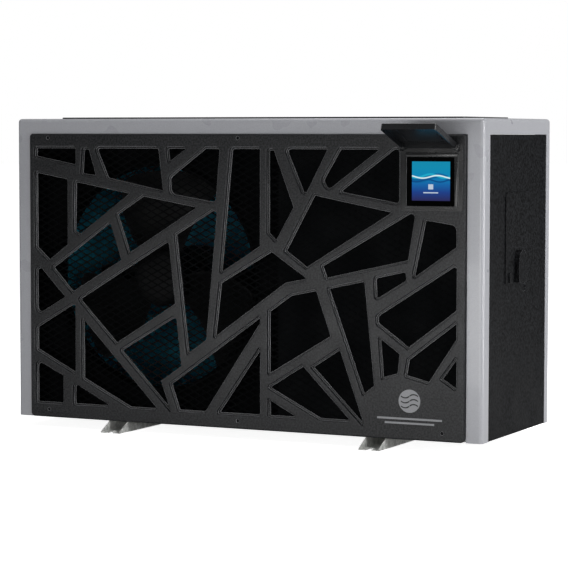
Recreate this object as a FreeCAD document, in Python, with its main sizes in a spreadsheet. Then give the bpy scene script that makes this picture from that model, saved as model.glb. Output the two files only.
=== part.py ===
import FreeCAD, Part

import math
import os
import re

import Sketcher
from FreeCAD import Placement, Rotation, Vector

# Pool heat pump unit. Frame: +Z up, the front panel faces -Y, +X is to the right as seen
# from the front, the origin is the bottom centre of the bounding box, sizes in millimetres.
# Sub-parts are modelled in the casing's own frame: x = 0 at the casing's middle, y = 0 at its
# front face and z = 0 at the floor. rest_x and rest_y carry them into the row frame.

doc = FreeCAD.newDocument("HeatPumpUnit")

DIMENSIONS = {
    "width": 970, "depth": 355.5, "height": 580, "foot": 19.5, "wall": 2.5,
    "corner": 7, "top_edge": 6.8, "band": 29, "post": 31,
    "post_side": 30.5, "post_rear": 23.6, "rest_x": -5.4, "rest_y": -159.1,
    "panel_proud": 7.5, "panel_thick": 9, "panel_gap": 1, "panel_edge": 2.4, "panel_round": 8,
    "rim_width": 4, "rim_depth": 7, "rim_edge": 1.1, "mesh_thick": 1.2,
    "insert_inset": 60, "insert_thick": 3,
    "side_thick": 3, "side_recess": 0.7, "sheet": 1.5,
    "fan_x": -203, "fan_z": 295.5, "ring_radius": 214, "ring_front": 43, "ring_depth": 30,
    "fan_radius": 207, "hub_radius": 56, "hub_front": 60, "hub_depth": 55, "shaft_radius": 6,
    "motor_radius": 54, "motor_front": 150, "motor_depth": 88, "run_fit": 0.05,
    "coil_thick": 32, "coil_gap": 8, "tube_radius": 4.8,
    "wall_x": 88, "pan_height": 26, "rail_width": 41, "rail_overhang": 36, "rail_wall": 2,
    "rail_left_x": -258.5, "rail_right_x": 280,
    "cover_front": 111, "cover_width": 141, "cover_bottom": 298.5, "cover_height": 167,
    "vessel_radius": 58, "vessel_x": 205, "vessel_y": 225, "vessel_height": 380,
    "inlet_z": 120, "outlet_z": 320, "stub_radius": 30, "stub_bore": 21, "stub_end": 385,
    "nut_radius": 41, "nut_length": 36, "socket_radius": 28.5, "socket_bore": 25.1,
    "socket_end": 430, "compressor_x": 370, "compressor_y": 118, "compressor_radius": 60,
    "compressor_height": 235, "box_floor": 470,
    "glass_x": 387.7, "glass_z": 486.3, "glass_width": 92, "glass_height": 88,
    "surround_left": 329, "surround_right": 448, "surround_low": 434, "surround_high": 552,
    "surround_thick": 1.6, "stem_left": 341.4, "stem_right": 434.1, "stem_low": 441.4,
    "stem_high": 543.6, "bezel_left": 338, "bezel_right": 440, "bezel_low": 437,
    "bezel_high": 538, "bezel_front": 3.5, "flap_x": 384.5, "flap_width": 104.5,
    "flap_length": 102, "flap_depth": 11.4, "flap_sheet": 2, "hinge_y": -12.6,
    "hinge_z": 546, "hinge_pin": 1.6, "open_angle": 109,
}

dims = doc.addObject("Spreadsheet::Sheet", "dims")
for row, (alias, value) in enumerate(DIMENSIONS.items(), start=1):
    dims.set("A%d" % row, alias)
    dims.set("B%d" % row, str(value))
    dims.setAlias("B%d" % row, alias)
doc.recompute()

ALIASES = re.compile(r"\b(%s)\b" % "|".join(DIMENSIONS))
AXIS_TURNS = {"x": Rotation(Vector(0, 1, 0), 90), "y": Rotation(Vector(1, 0, 0), -90),
              "z": Rotation()}
BEHIND = 400  # further than anything a through cut has to pass

parts = {}


def cell(alias):
    """Value of one cell of the sheet."""
    return float(getattr(dims, alias))


def linked(text):
    """The expression text with each alias pointed at the sheet."""
    return ALIASES.sub(r"dims.\1", str(text))


def bind(obj, **sizes):
    """Bind properties of obj to expressions of the sheet."""
    for name, text in sizes.items():
        obj.setExpression(name, linked(text))
    return obj


def place(obj, at, axis="z"):
    """Stand obj on the expressions at=(x, y, z), its own Z along axis."""
    obj.Placement = Placement(Vector(), AXIS_TURNS[axis])
    for letter, text in zip("xyz", at):
        obj.setExpression("Placement.Base." + letter, linked(text))
    return obj


def box(size, at):
    """Box of expressions size=(x, y, z), its low corner at the expressions at."""
    obj = doc.addObject("Part::Box", "block")
    bind(obj, Length=size[0], Width=size[1], Height=size[2])
    return place(obj, at)


def cylinder(radius, length, at, axis="z"):
    """Cylinder that starts at the expressions at and runs along axis."""
    obj = doc.addObject("Part::Cylinder", "round")
    bind(obj, Radius=radius, Height=length)
    return place(obj, at, axis)


def cone(low_radius, high_radius, length, at, axis="z"):
    """Frustum that starts at the expressions at and runs along axis."""
    obj = doc.addObject("Part::Cone", "taper")
    bind(obj, Radius1=low_radius, Radius2=high_radius, Height=length)
    return place(obj, at, axis)


def fuse(*shapes):
    """One solid, or one group of solids, from several objects."""
    obj = doc.addObject("Part::MultiFuse", "join")
    obj.Shapes = list(shapes)
    return obj


def cut(base, *tools):
    """base with every tool taken away."""
    obj = doc.addObject("Part::Cut", "cut")
    obj.Base = base
    obj.Tool = tools[0] if len(tools) == 1 else fuse(*tools)
    return obj


def rounded(base, radius, wanted):
    """base with a fillet of the named radius on each edge that passes wanted(edge)."""
    doc.recompute()
    size = cell(radius)
    numbers = [i for i, edge in enumerate(base.Shape.Edges, start=1) if wanted(edge)]
    obj = doc.addObject("Part::Fillet", "fillet")
    obj.Base = base
    obj.Edges = [(i, size, size) for i in numbers]
    return obj


def upright(edge):
    """True for an edge along Z."""
    low, high = edge.BoundBox.ZMin, edge.BoundBox.ZMax
    return high - low > 0.99 * edge.Length


def at_height(height):
    """Test for an edge that lies at one height."""
    return lambda edge: abs(edge.BoundBox.ZMin - height) < 0.01 and edge.BoundBox.ZLength < 0.01


def group(shapes):
    """Separate solids kept together in one object, such as a set of screws."""
    obj = doc.addObject("Part::Compound", "set")
    obj.Links = list(shapes)
    return obj


def keep(label, obj):
    """Name a finished sub-part and carry it into the row frame."""
    holder = doc.addObject("Part::Compound", label)
    holder.Links = [obj]
    holder.Label = label
    holder.setExpression("Placement.Base.x", "dims.rest_x")
    holder.setExpression("Placement.Base.y", "dims.rest_y")
    parts[label] = holder
    return holder


def keep_shape(label, shape):
    """Name a sub-part whose shape Part's functions have made."""
    obj = doc.addObject("Part::Feature", label + "_shape")
    obj.Shape = shape
    return keep(label, obj)


def body(name):
    """New design body."""
    return doc.addObject("PartDesign::Body", name)


def sketch(owner, role, lift=0):
    """Sketch on one of the body's own planes, lifted along its normal."""
    plane = next(f for f in owner.Origin.OriginFeatures if f.Role == role)
    drawing = owner.newObject("Sketcher::SketchObject", owner.Name + "_outline")
    drawing.AttachmentSupport = [(plane, "")]
    drawing.MapMode = "FlatFace"
    drawing.AttachmentOffset = Placement(Vector(0, 0, lift), Rotation())
    return drawing


def pad(owner, drawing, length, backwards=False):
    """Pad a sketch by an expression."""
    feature = owner.newObject("PartDesign::Pad", owner.Name + "_pad")
    feature.Profile = drawing
    feature.Reversed = backwards
    bind(feature, Length=length)
    doc.recompute()
    return feature


def pocket(owner, drawing, length, backwards=False):
    """Pocket a sketch by an expression and check that it removed material."""
    before = owner.Shape.Volume
    feature = owner.newObject("PartDesign::Pocket", owner.Name + "_pocket")
    feature.Profile = drawing
    feature.Reversed = backwards
    bind(feature, Length=length)
    doc.recompute()
    if owner.Shape.Volume > before - 1:
        raise RuntimeError("a pocket of %s removes nothing" % owner.Name)
    return feature


def upright_frame(name, margin, radius):
    """Outline of the named rectangle on the front, grown by margin."""
    left, right = cell(name + "_left") - margin, cell(name + "_right") + margin
    low, high = cell(name + "_low") - margin, cell(name + "_high") + margin
    return outline([(left, low), (right, low), (right, high), (left, high)], [radius] * 4)


def soften(owner, radius, wanted):
    """Fillet of the named radius on each edge of the body that passes wanted(edge)."""
    names = ["Edge%d" % i for i, edge in enumerate(owner.Shape.Edges, start=1) if wanted(edge)]
    last = owner.Tip
    feature = owner.newObject("PartDesign::Fillet", owner.Name + "_soft")
    feature.Base = (last, names)
    bind(feature, Radius=radius)
    doc.recompute()
    return feature


def bound_rectangle(drawing, x, y, across, up):
    """Rectangle whose corner and size are bound to expressions."""
    corners = [Vector(0, 0, 0), Vector(10, 0, 0), Vector(10, 10, 0), Vector(0, 10, 0)]
    first = drawing.GeometryCount
    for i in range(4):
        drawing.addGeometry(Part.LineSegment(corners[i], corners[(i + 1) % 4]), False)
    join = [("Coincident", first + i, 2, first + (i + 1) % 4, 1) for i in range(4)]
    level = [("Horizontal", first), ("Vertical", first + 1), ("Horizontal", first + 2),
             ("Vertical", first + 3)]
    for entry in join + level:
        drawing.addConstraint(Sketcher.Constraint(*entry))
    start = cell_value(x), cell_value(y)
    sizes = (("DistanceX", -1, 1, first, 1, start[0], x),
             ("DistanceY", -1, 1, first, 1, start[1], y),
             ("DistanceX", first, 1, first, 2, cell_value(across), across),
             ("DistanceY", first + 1, 1, first + 1, 2, cell_value(up), up))
    for kind, a, b, c, d, value, text in sizes:
        number = drawing.addConstraint(Sketcher.Constraint(kind, a, b, c, d, value))
        drawing.setExpression("Constraints[%d]" % number, linked(text))


def cell_value(text):
    """Number that an expression has now."""
    return float(dims.evalExpression(linked(text)))


def inset(points, distance):
    """Move every side of a closed outline inwards by distance."""
    count = len(points)
    area = sum(points[i][0] * points[(i + 1) % count][1]
               - points[(i + 1) % count][0] * points[i][1] for i in range(count))
    turn = 1 if area > 0 else -1
    sides = []
    for i in range(count):
        start = Vector(*points[i], 0)
        run = (Vector(*points[(i + 1) % count], 0) - start).normalize()
        inwards = Vector(-run.y, run.x, 0) * turn
        sides.append((start + inwards * distance, run))
    moved = []
    for i in range(count):
        (here, run), (there, course) = sides[i - 1], sides[i]
        along = (there - here).cross(course).z / run.cross(course).z
        corner = here + run * along
        moved.append((corner.x, corner.y))
    return moved


def outline(points, radii):
    """Lines and tangent arcs of a closed outline with one radius per corner."""
    count = len(points)
    ends = []
    for i in range(count):
        corner = Vector(*points[i], 0)
        back = (Vector(*points[i - 1], 0) - corner).normalize()
        ahead = (Vector(*points[(i + 1) % count], 0) - corner).normalize()
        half = back.getAngle(ahead) / 2
        reach = radii[i] / math.tan(half)
        middle = corner + (back + ahead).normalize() * radii[i] * (1 / math.sin(half) - 1)
        ends.append((corner + back * reach, middle, corner + ahead * reach))
    pieces = []
    for i in range(count):
        pieces.append(Part.Arc(*ends[i]))
        start, stop = ends[i][2], ends[(i + 1) % count][0]
        if (stop - start).Length > 0.01:
            pieces.append(Part.LineSegment(start, stop))
    return pieces


# ---- openings of the front panel -------------------------------------------------------
# Corner points in millimetres from the casing's lower left front corner, x then z, with
# one corner radius each. They are the outer edges of the rims on the panel's face.

OPENINGS = []


def opening(points, radii):
    """Add one opening of the front panel."""
    OPENINGS.append((points, radii))


# upper row
opening([(41.5, 527.5), (136, 527.5), (136, 487.5), (41.5, 505)], [6, 6, 7, 5])
opening([(148.5, 525.5), (164.5, 525.5), (182.5, 467), (145, 472)], [7, 7, 6, 6])
opening([(174, 527.5), (317.5, 527.5), (328.5, 439), (202.5, 464)], [8, 8, 5, 8])
opening([(331.5, 527.5), (387, 527.5), (336, 493)], [5, 5, 4])
opening([(414, 527.5), (449, 527.5), (439.5, 419), (338, 435), (336.5, 470.5)], [10, 8, 10, 16, 16])
opening([(468.5, 527.5), (532.5, 527.5), (532.5, 341.5), (445, 286)], [9, 6, 5, 5])
opening([(544.5, 525), (560, 525), (602, 416), (563, 349), (544.5, 367)], [7, 7, 4, 5, 4])
opening([(578, 527.5), (673, 527.5), (621, 430)], [9, 5, 8])
opening([(691, 527.5), (782, 527.5), (668, 444.5), (654, 466)], [6, 5, 10, 14])
opening([(797.5, 527.5), (812.5, 527.5), (812.5, 422), (692.5, 442.5), (692.5, 451)],
        [10, 8, 9, 3, 4])
# second row
opening([(42, 480.5), (117.5, 467), (117.5, 336), (72.5, 302.5), (42, 329.5)], [6, 6, 6, 4, 5])
opening([(129.5, 463.5), (261, 440), (142.5, 354), (128, 362.5)], [7, 4, 5, 5])
opening([(221.5, 399.5), (281, 437), (407, 415.5), (250, 319.5)], [6, 4, 4, 4])
opening([(76.5, 293), (211, 387), (237.5, 309), (125, 242)], [5, 6, 4, 3])
opening([(349, 363.5), (444, 420), (419.5, 162.5), (376.5, 131.5)], [5, 10, 4, 4])
opening([(578.5, 335), (639, 443.5), (805, 412), (624.5, 302.5)], [5, 4, 4, 3])
opening([(653, 311.5), (846.5, 422.5), (829.5, 321.5), (663.5, 284)], [6, 11, 5, 6])
opening([(857.5, 401.5), (923, 392), (923, 348), (833, 285.5)], [6, 16, 6, 5.5])
# middle row
opening([(42, 307.5), (114, 235), (42, 193.5)], [9.5, 3.5, 12])
opening([(135.5, 233.5), (339, 355), (353.5, 228), (222, 146.5)], [7, 8, 4, 6])
opening([(445, 275), (553, 338), (635, 284), (582.5, 273), (432, 164.5)], [4, 6, 5, 12, 4])
opening([(760, 293.5), (825, 308), (827, 286), (762, 246.5)], [8, 8, 7, 7])
opening([(764.5, 224), (924, 325), (924, 235), (828, 162.5), (764.5, 207.5)], [14, 8, 4, 4, 12])
# lower row
opening([(42, 177.5), (134, 231), (134, 84), (42, 130)], [10, 8, 6, 3])
opening([(146, 202), (319, 25.5), (252, 25.5), (146, 77.5)], [4, 4, 8, 4])
opening([(228, 138), (355, 212.5), (366.5, 110.5), (323.5, 80.5), (346, 18.5)], [6, 9, 3, 5, 2])
opening([(546, 224.5), (592, 257), (646.5, 268.5), (678, 180), (546, 101)], [5, 10, 4, 3, 4.5])
opening([(665.5, 271.5), (744, 288.5), (764.5, 92.5), (739.5, 73.5)], [6, 7, 5, 4])
opening([(769, 188.5), (814.5, 156.5), (810.5, 116.5), (776, 106)], [4, 3, 3, 3])
opening([(826, 147), (924, 221), (924, 183.5), (869.5, 102), (820.5, 114)], [6, 3, 6, 4, 3])
opening([(889, 112.5), (924.5, 160), (924.5, 90)], [3, 3, 5])
# bottom row
opening([(42, 115), (106, 85), (106, 25.5), (42, 25.5)], [10, 6, 7, 5])
opening([(126.5, 74), (223.5, 25.5), (126.5, 25.5)], [8, 5, 5])
opening([(337.5, 79), (533, 217.5), (533, 199.5), (416.5, 25.5), (357, 25.5)], [6, 3, 6, 9, 4])
opening([(533, 161.5), (533, 25.5), (437.5, 25.5)], [3, 6, 4])
opening([(542.5, 81.5), (618.5, 128.5), (721.5, 25.5), (653, 25.5)], [5, 4, 4, 8])
opening([(547, 63.5), (619.5, 25.5), (547, 25.5)], [3, 4.5, 3.5])
opening([(633.5, 124), (694, 163), (749, 10)], [3, 4, 4])

# Screws of the front panel and of the right side, on the same corner.
FRONT_SCREWS = ((73.5, 543.5), (485.5, 543.5), (896, 543.5), (73.5, 16), (485.5, 16), (896, 16))
SIDE_SCREWS = ((36, 472), (36, 58), (319, 472), (319, 58))


def on_panel(points):
    """Panel points carried into the casing's frame."""
    return [(x - cell("width") / 2, z + cell("foot")) for x, z in points]


# ---- casing ----------------------------------------------------------------------------

def make_frame_cover():
    """Light grey cover: top, four corner posts and the band that joins them."""
    shell = box(("width", "depth", "height"), ("-width/2", 0, "foot"))
    shell = rounded(shell, "corner", upright)
    top = cell("foot") + cell("height")
    shell = rounded(shell, "top_edge", at_height(top))
    inside = box(("width - 2*wall", "depth - 2*wall", "height - wall"),
                 ("-width/2 + wall", "wall", "foot"))
    window = "height - band"
    front = box(("width - 2*post", "post_side", window),
                ("-width/2 + post", -1, "foot"))
    rear = box(("width - 2*post", "post_side", window),
               ("-width/2 + post", "depth - post_rear", "foot"))
    sides = box(("width + 2", "depth - post_side - post_rear", window),
                ("-width/2 - 1", "post_side", "foot"))
    keep("frame_cover", cut(shell, inside, front, rear, sides))


def make_top_insert():
    """Dark insert on the top with raised ribs that cross it."""
    across = cell("width") - 2 * cell("insert_inset")
    deep = cell("depth") - 2 * cell("insert_inset")
    top = cell("foot") + cell("height")
    owner = body("top_insert_body")
    drawing = sketch(owner, "XY_Plane", top)
    low = cell("insert_inset")
    corners = [(-across / 2, low), (across / 2, low), (across / 2, low + deep),
               (-across / 2, low + deep)]
    drawing.addGeometry(outline(corners, [14] * 4), False)
    pad(owner, drawing, "insert_thick")
    hollow = sketch(owner, "XY_Plane", top + cell("insert_thick"))
    ribs = (0.0, 0.16, 0.3, 0.47, 0.6, 0.78, 0.9, 1.0)
    lean = (0.03, -0.05, 0.04, -0.03, 0.06, -0.04)
    rib = 9
    for i in range(len(ribs) - 1):
        lean_in = lean[i - 1] if i else 0
        lean_out = lean[i] if i < len(lean) else 0
        left, right = (ribs[i] - 0.5) * across + rib, (ribs[i + 1] - 0.5) * across - rib
        field = [(left - lean_in * across, low + rib), (right - lean_out * across, low + rib),
                 (right + lean_out * across, low + deep - rib),
                 (left + lean_in * across, low + deep - rib)]
        hollow.addGeometry(outline(field, [6] * 4), False)
    pocket(owner, hollow, "insert_thick/2")
    keep("top_insert", owner)


def make_front_panel():
    """Moulded front panel with rimmed openings, screw holes and the display's cut-out."""
    owner = body("front_panel_body")
    proud = cell("panel_proud")
    left = -cell("width") / 2 + cell("post") + cell("panel_gap")
    low = cell("foot") + 0.5
    high = cell("foot") + cell("height") - cell("band") - 1
    big = cell("panel_round")
    face = sketch(owner, "XZ_Plane", proud)
    face.addGeometry(outline([(left, low), (-left, low), (-left, high), (left, high)],
                             [big, big, big / 2, big / 2]), False)
    pad(owner, face, "panel_thick", backwards=True)
    soften(owner, "panel_edge", lambda e: e.BoundBox.YMax < 0.01 - proud)
    edge_band = cell("panel_edge") + 0.5
    rims = sketch(owner, "XZ_Plane", proud)
    holes = sketch(owner, "XZ_Plane", proud)
    for points, radii in OPENINGS:
        rims.addGeometry(outline(on_panel(points), radii), False)
        inner = inset(points, cell("rim_width"))
        small = [max(r - cell("rim_width"), 1.2) for r in radii]
        holes.addGeometry(outline(on_panel(inner), small), False)
    pocket(owner, rims, "rim_depth")
    soften(owner, "rim_edge", lambda e: e.BoundBox.YMax < 0.01 - proud
           and e.BoundBox.ZMin > low + edge_band and e.BoundBox.ZMax < high - edge_band
           and e.BoundBox.XMin > left + edge_band and e.BoundBox.XMax < -left - edge_band)
    pocket(owner, holes, "panel_thick + 1")
    rest = sketch(owner, "XZ_Plane", proud)
    rest.addGeometry(upright_frame("stem", 0.4, 4), False)
    for x, z in on_panel(FRONT_SCREWS):
        rest.addGeometry(Part.Circle(Vector(x, z, 0), Vector(0, 0, 1), 3.3), False)
    pocket(owner, rest, "panel_thick + 1")
    keep("front_panel", owner)


def make_protective_mesh():
    """Sheet that carries the expanded mesh behind the front panel."""
    sheet = box(("width - 2*post - 14", "mesh_thick", "height - band - 12"),
                ("-width/2 + post + 7", "panel_thick - panel_proud + 0.1", "foot + 5"))
    notch = box(("stem_right - stem_left + 3", 10, "stem_high - stem_low + 3"),
                ("stem_left - 1.5", -1, "stem_low - 1.5"))
    keep("protective_mesh", cut(sheet, notch))


def make_front_frame():
    """Black steel frame behind the mesh, which the panel's screws hold on to."""
    plate = box(("width - 2*wall - 1", "sheet", "height - wall - 30"),
                ("-width/2 + wall + 0.5", "panel_thick - panel_proud + mesh_thick + 0.2",
                 "foot + 28"))
    window = box(("wall_x + width/2 - post - 18", 10, "foot + height - band - 22"),
                 ("-width/2 + post + 10", -1, 0))
    display = box(("stem_right - stem_left + 5", 10, "stem_high - stem_low + 5"),
                  ("stem_left - 2.5", -1, "stem_low - 2.5"))
    holes = [cylinder(2.4, 20, (x, -1, z), "y") for x, z in on_panel(FRONT_SCREWS) if z > 100]
    keep("front_frame", cut(plate, window, display, *holes))


def make_base_pan():
    """Folded steel pan that carries everything inside."""
    outside = box(("width - 2*wall - 3", "depth - 20", "pan_height"),
                  ("-width/2 + wall + 1.5", 12, "foot"))
    inside = box(("width - 2*wall - 3 - 2*sheet", "depth - 20 - 2*sheet",
                  "pan_height"),
                 ("-width/2 + wall + 1.5 + sheet", "12 + sheet", "foot + sheet"))
    drain = cylinder(9, 10, ("fan_x", "depth/2", "foot - 4"))
    keep("base_pan", cut(outside, inside, drain))
    tube = cylinder(8.9, 13, ("fan_x", "depth/2", "foot - 11"))
    flange = cylinder(14, 2, ("fan_x", "depth/2", "foot - 2"))
    bore = cylinder(6.5, 30, ("fan_x", "depth/2", "foot - 15"))
    keep("drain_spout", cut(fuse(tube, flange), bore))


def make_foot_rail(label, middle):
    """Channel under the casing with sloped ends and a bolt slot in each end."""
    length = "depth + 2*rail_overhang"
    start = ("%s - rail_width/2" % middle, "-rail_overhang", 0)
    outside = box(("rail_width", length, "foot - 0.1"), start)
    inside = box(("rail_width - 2*rail_wall", "depth + 2*rail_overhang + 2", "foot"),
                 ("%s - rail_width/2 + rail_wall" % middle, "-rail_overhang - 1", "rail_wall"))
    low, high = cell("rail_wall"), cell("foot")
    reach = cell("rail_overhang")
    x = cell_value(middle) - cell("rail_width")
    ends = []
    for side in (-1, 1):
        face = -reach if side < 0 else cell("depth") + reach
        inner = face - side * (reach - 2)
        beyond = face + side * 2
        corners = [Vector(x, face, low), Vector(x, inner, high), Vector(x, beyond, high + 2),
                   Vector(x, beyond, low)]
        wedge = doc.addObject("Part::Feature", "slope")
        wedge.Shape = Part.Face(Part.makePolygon(corners + corners[:1])).extrude(
            Vector(2 * cell("rail_width"), 0, 0))
        ends.append(wedge)
        notch = box((11, 17, 6), ("%s - 5.5" % middle, face - 1 if side < 0 else face - 16, -1))
        stop = cylinder(5.5, 6, (middle, face + 16 if side < 0 else face - 16, -1))
        ends += [notch, stop]
    keep(label, cut(outside, inside, *ends))


def make_side_panels():
    """Right side panel, left side panel with air slots, and their screws."""
    face = "width/2 - side_recess - side_thick"
    deep = "depth - post_side - post_rear - 1"
    tall = "height - band - 0.9"
    sheet = box(("side_thick", deep, tall), (face, "post_side + 0.5", "foot + 0.5"))
    cable = box((20, 44, 60), ("width/2 - 15", "cover_front + 46", "cover_bottom + 20"))
    holes = [cylinder(3.2, 20, ("width/2 - 15", y, z + cell("foot")), "x")
             for y, z in SIDE_SCREWS]
    thumb = box((4, 19, 14), ("width/2 - 2", 203, "foot + 261"))
    keep("side_panel_right", cut(sheet, cable, thumb, *holes))
    owner = body("side_left_body")
    drawing = sketch(owner, "YZ_Plane", -cell("width") / 2 + cell("side_recess"))
    bound_rectangle(drawing, "post_side + 0.5", "foot + 0.5", deep, tall)
    pad(owner, drawing, "side_thick")
    slots = sketch(owner, "YZ_Plane", -cell("width") / 2 + cell("side_recess"))
    count, pitch, half = 24, 20.5, 4.5
    near, far = cell("post_side") + 26, cell("depth") - cell("post_rear") - 24
    for i in range(count):
        z = cell("foot") + 38 + i * pitch
        slots.addGeometry(outline([(near, z - half), (far, z - half), (far, z + half),
                                   (near, z + half)], [half - 0.2] * 4), False)
    for y, z in SIDE_SCREWS:
        slots.addGeometry(Part.Circle(Vector(y, z + cell("foot"), 0), Vector(0, 0, 1), 3.2), False)
    pocket(owner, slots, "side_thick + 1", backwards=True)
    keep("side_panel_left", owner)


def make_wiring_cover():
    """Cover of the mains connection with its cable hood and latch."""
    owner = body("wiring_cover_body")
    y, z = cell("cover_front"), cell("cover_bottom")
    across, tall = cell("cover_width"), cell("cover_height")
    face = cell("width") / 2 - cell("side_recess")
    drawing = sketch(owner, "YZ_Plane", face)
    drawing.addGeometry(outline([(y, z), (y + across, z), (y + across, z + tall),
                                 (y, z + tall)], [2, 2, 10, 10]), False)
    pad(owner, drawing, "side_thick - 0.5")
    soften(owner, "rim_edge", lambda e: e.BoundBox.XMin > face + 2)
    keep("wiring_cover", owner)
    out = "width/2 - side_recess + side_thick - 0.5"
    hood = fuse(box((9, 42, 38), (out, 157, "cover_bottom + 1")),
                cylinder(21, 9, (out, 178, "cover_bottom + 39"), "x"))
    mouth = fuse(box((9, 36, 40), ("%s - 2" % out, 160, "cover_bottom - 1")),
                 cylinder(18, 9, ("%s - 2" % out, 178, "cover_bottom + 39"), "x"))
    keep("cable_hood", cut(hood, mouth))
    keep("cover_latch", rounded(box((3, 12, 20), (out, 124, "cover_bottom + 1")), "rim_edge",
                                lambda e: e.BoundBox.XMin > cell("width") / 2 + 4))


def make_rear():
    """Guard over the coil, panel over the machine room and the cable glands."""
    face = cell("depth") - cell("side_recess")
    low, high = cell("foot") + 0.5, cell("foot") + cell("height") - cell("band") - 0.4
    left, split = -cell("width") / 2 + cell("post") + 1, cell("wall_x") - 6
    owner = body("coil_guard_body")
    drawing = sketch(owner, "XZ_Plane", -face)
    bound_rectangle(drawing, left, low, split - left, high - low)
    pad(owner, drawing, "side_thick")
    grid = sketch(owner, "XZ_Plane", -face)
    columns, rows, bar, border = 11, 11, 5, 16
    step_x = (split - left - 2 * border + bar) / columns
    step_z = (high - low - 2 * border + bar) / rows
    for i in range(columns):
        for j in range(rows):
            x, z = left + border + i * step_x, low + border + j * step_z
            cell_corners = [(x, z), (x + step_x - bar, z), (x + step_x - bar, z + step_z - bar),
                            (x, z + step_z - bar)]
            grid.addGeometry(outline(cell_corners, [3] * 4), False)
    pocket(owner, grid, "side_thick + 1", backwards=True)
    keep("coil_guard_rear", owner)
    sheet = box(("width/2 - post - wall_x + 4", "side_thick", "height - band - 0.9"),
                ("wall_x - 5", "depth - side_recess - side_thick", "foot + 0.5"))
    holes = [cylinder("stub_radius + 2", 30, ("vessel_x", "depth - 20", z), "y")
             for z in ("inlet_z", "outlet_z")]
    glands = []
    for x in (360, 400):
        holes.append(cylinder(9, 30, (x, "depth - 20", 110), "y"))
        nut = cylinder(13, 8, (x, "depth - side_recess", 110), "y")
        barrel = cylinder(8.9, 26, (x, "depth - 14", 110), "y")
        inner = cylinder(5, 60, (x, "depth - 40", 110), "y")
        glands.append(cut(fuse(nut, barrel), inner))
    keep("rear_panel", cut(sheet, *holes))
    keep("cable_glands", group(glands))


def make_screws():
    """Cross-head screws of the panels, as separate solids in one set per panel."""
    front = []
    for x, z in on_panel(FRONT_SCREWS):
        head = cylinder(3.2, 2.6, (x, "2.2 - panel_proud", z), "y")
        shank = cylinder(2, 5, (x, "4 - panel_proud", z), "y")
        slot = box((4, 1.4, 0.9), (x - 2, "1.8 - panel_proud", z - 0.45))
        front.append(cut(fuse(head, shank), slot))
    keep("front_screws", group(front))
    side = []
    for y, z in SIDE_SCREWS:
        height = z + cell("foot")
        for start in ("width/2 - side_recess - 7.4", "-width/2 + side_recess + 0.4"):
            side.append(cylinder(3, 7, (start, y, height), "x"))
    keep("side_screws", group(side))


def make_badge():
    """Plain raised emblem: a disc with three wave bands across it, and two bars below it."""
    x, z = 833 - cell("width") / 2, 71 + cell("foot")
    front = -cell("panel_proud")
    disc = cylinder(21, 1, (x, front - 1, z), "y")
    waves = []
    for drop in (-9, 0, 9):
        for side in (-1, 1):
            ring = cylinder(13, 4, (x + side * 8.5, front - 3, z + drop - side * 8.5), "y")
            inner = cylinder(10.6, 6, (x + side * 8.5, front - 4, z + drop - side * 8.5), "y")
            half = box((17.2, 4, 12), (x + side * 8.5 - 8.6, front - 3,
                                       z + drop - (0.2 if side > 0 else 11.8)))
            band = doc.addObject("Part::MultiCommon", "band")
            band.Shapes = [cut(ring, inner), half]
            waves.append(band)
    keep("badge_emblem", cut(disc, *waves))
    bars = [box((length, 1, 3.4), (x - length / 2, front - 1, z - fall))
            for length, fall in ((126, 34), (96, 42))]
    keep("badge_bars", group(bars))


# ---- fan -------------------------------------------------------------------------------

def make_fan_deck():
    """Plate with the ring that the fan turns in."""
    plate = box(("wall_x + width/2 - wall - 6", "sheet", "height - band - 20"),
                ("-width/2 + wall + 3", "ring_front", "foot + 10"))
    ring = cylinder("ring_radius + sheet", "ring_depth", ("fan_x", "ring_front", "fan_z"), "y")
    lip = cone("ring_radius + 9", "ring_radius + sheet", 8,
               ("fan_x", "ring_front - 8", "fan_z"), "y")
    bore = cylinder("ring_radius", "ring_depth + 20", ("fan_x", "ring_front - 12", "fan_z"), "y")
    throat = cone("ring_radius + 8", "ring_radius", 8, ("fan_x", "ring_front - 8.2", "fan_z"),
                  "y")
    keep("fan_deck", cut(fuse(plate, ring, lip), bore, throat))


def blade_section(radius, chord, pitch, sweep, thickness):
    """Rounded plate section across a blade at one radius, in the fan's own frame."""
    half, edge = chord / 2, thickness / 2
    corners = [(-half, -edge), (half, -edge * 0.4), (half, edge * 0.4), (-half, edge)]
    turned = []
    for along, thick in corners:
        tangent = along * math.cos(pitch) - thick * math.sin(pitch) + sweep
        axial = along * math.sin(pitch) + thick * math.cos(pitch)
        turned.append(Vector(tangent, axial, radius))
    return Part.makePolygon(turned + turned[:1])


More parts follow.
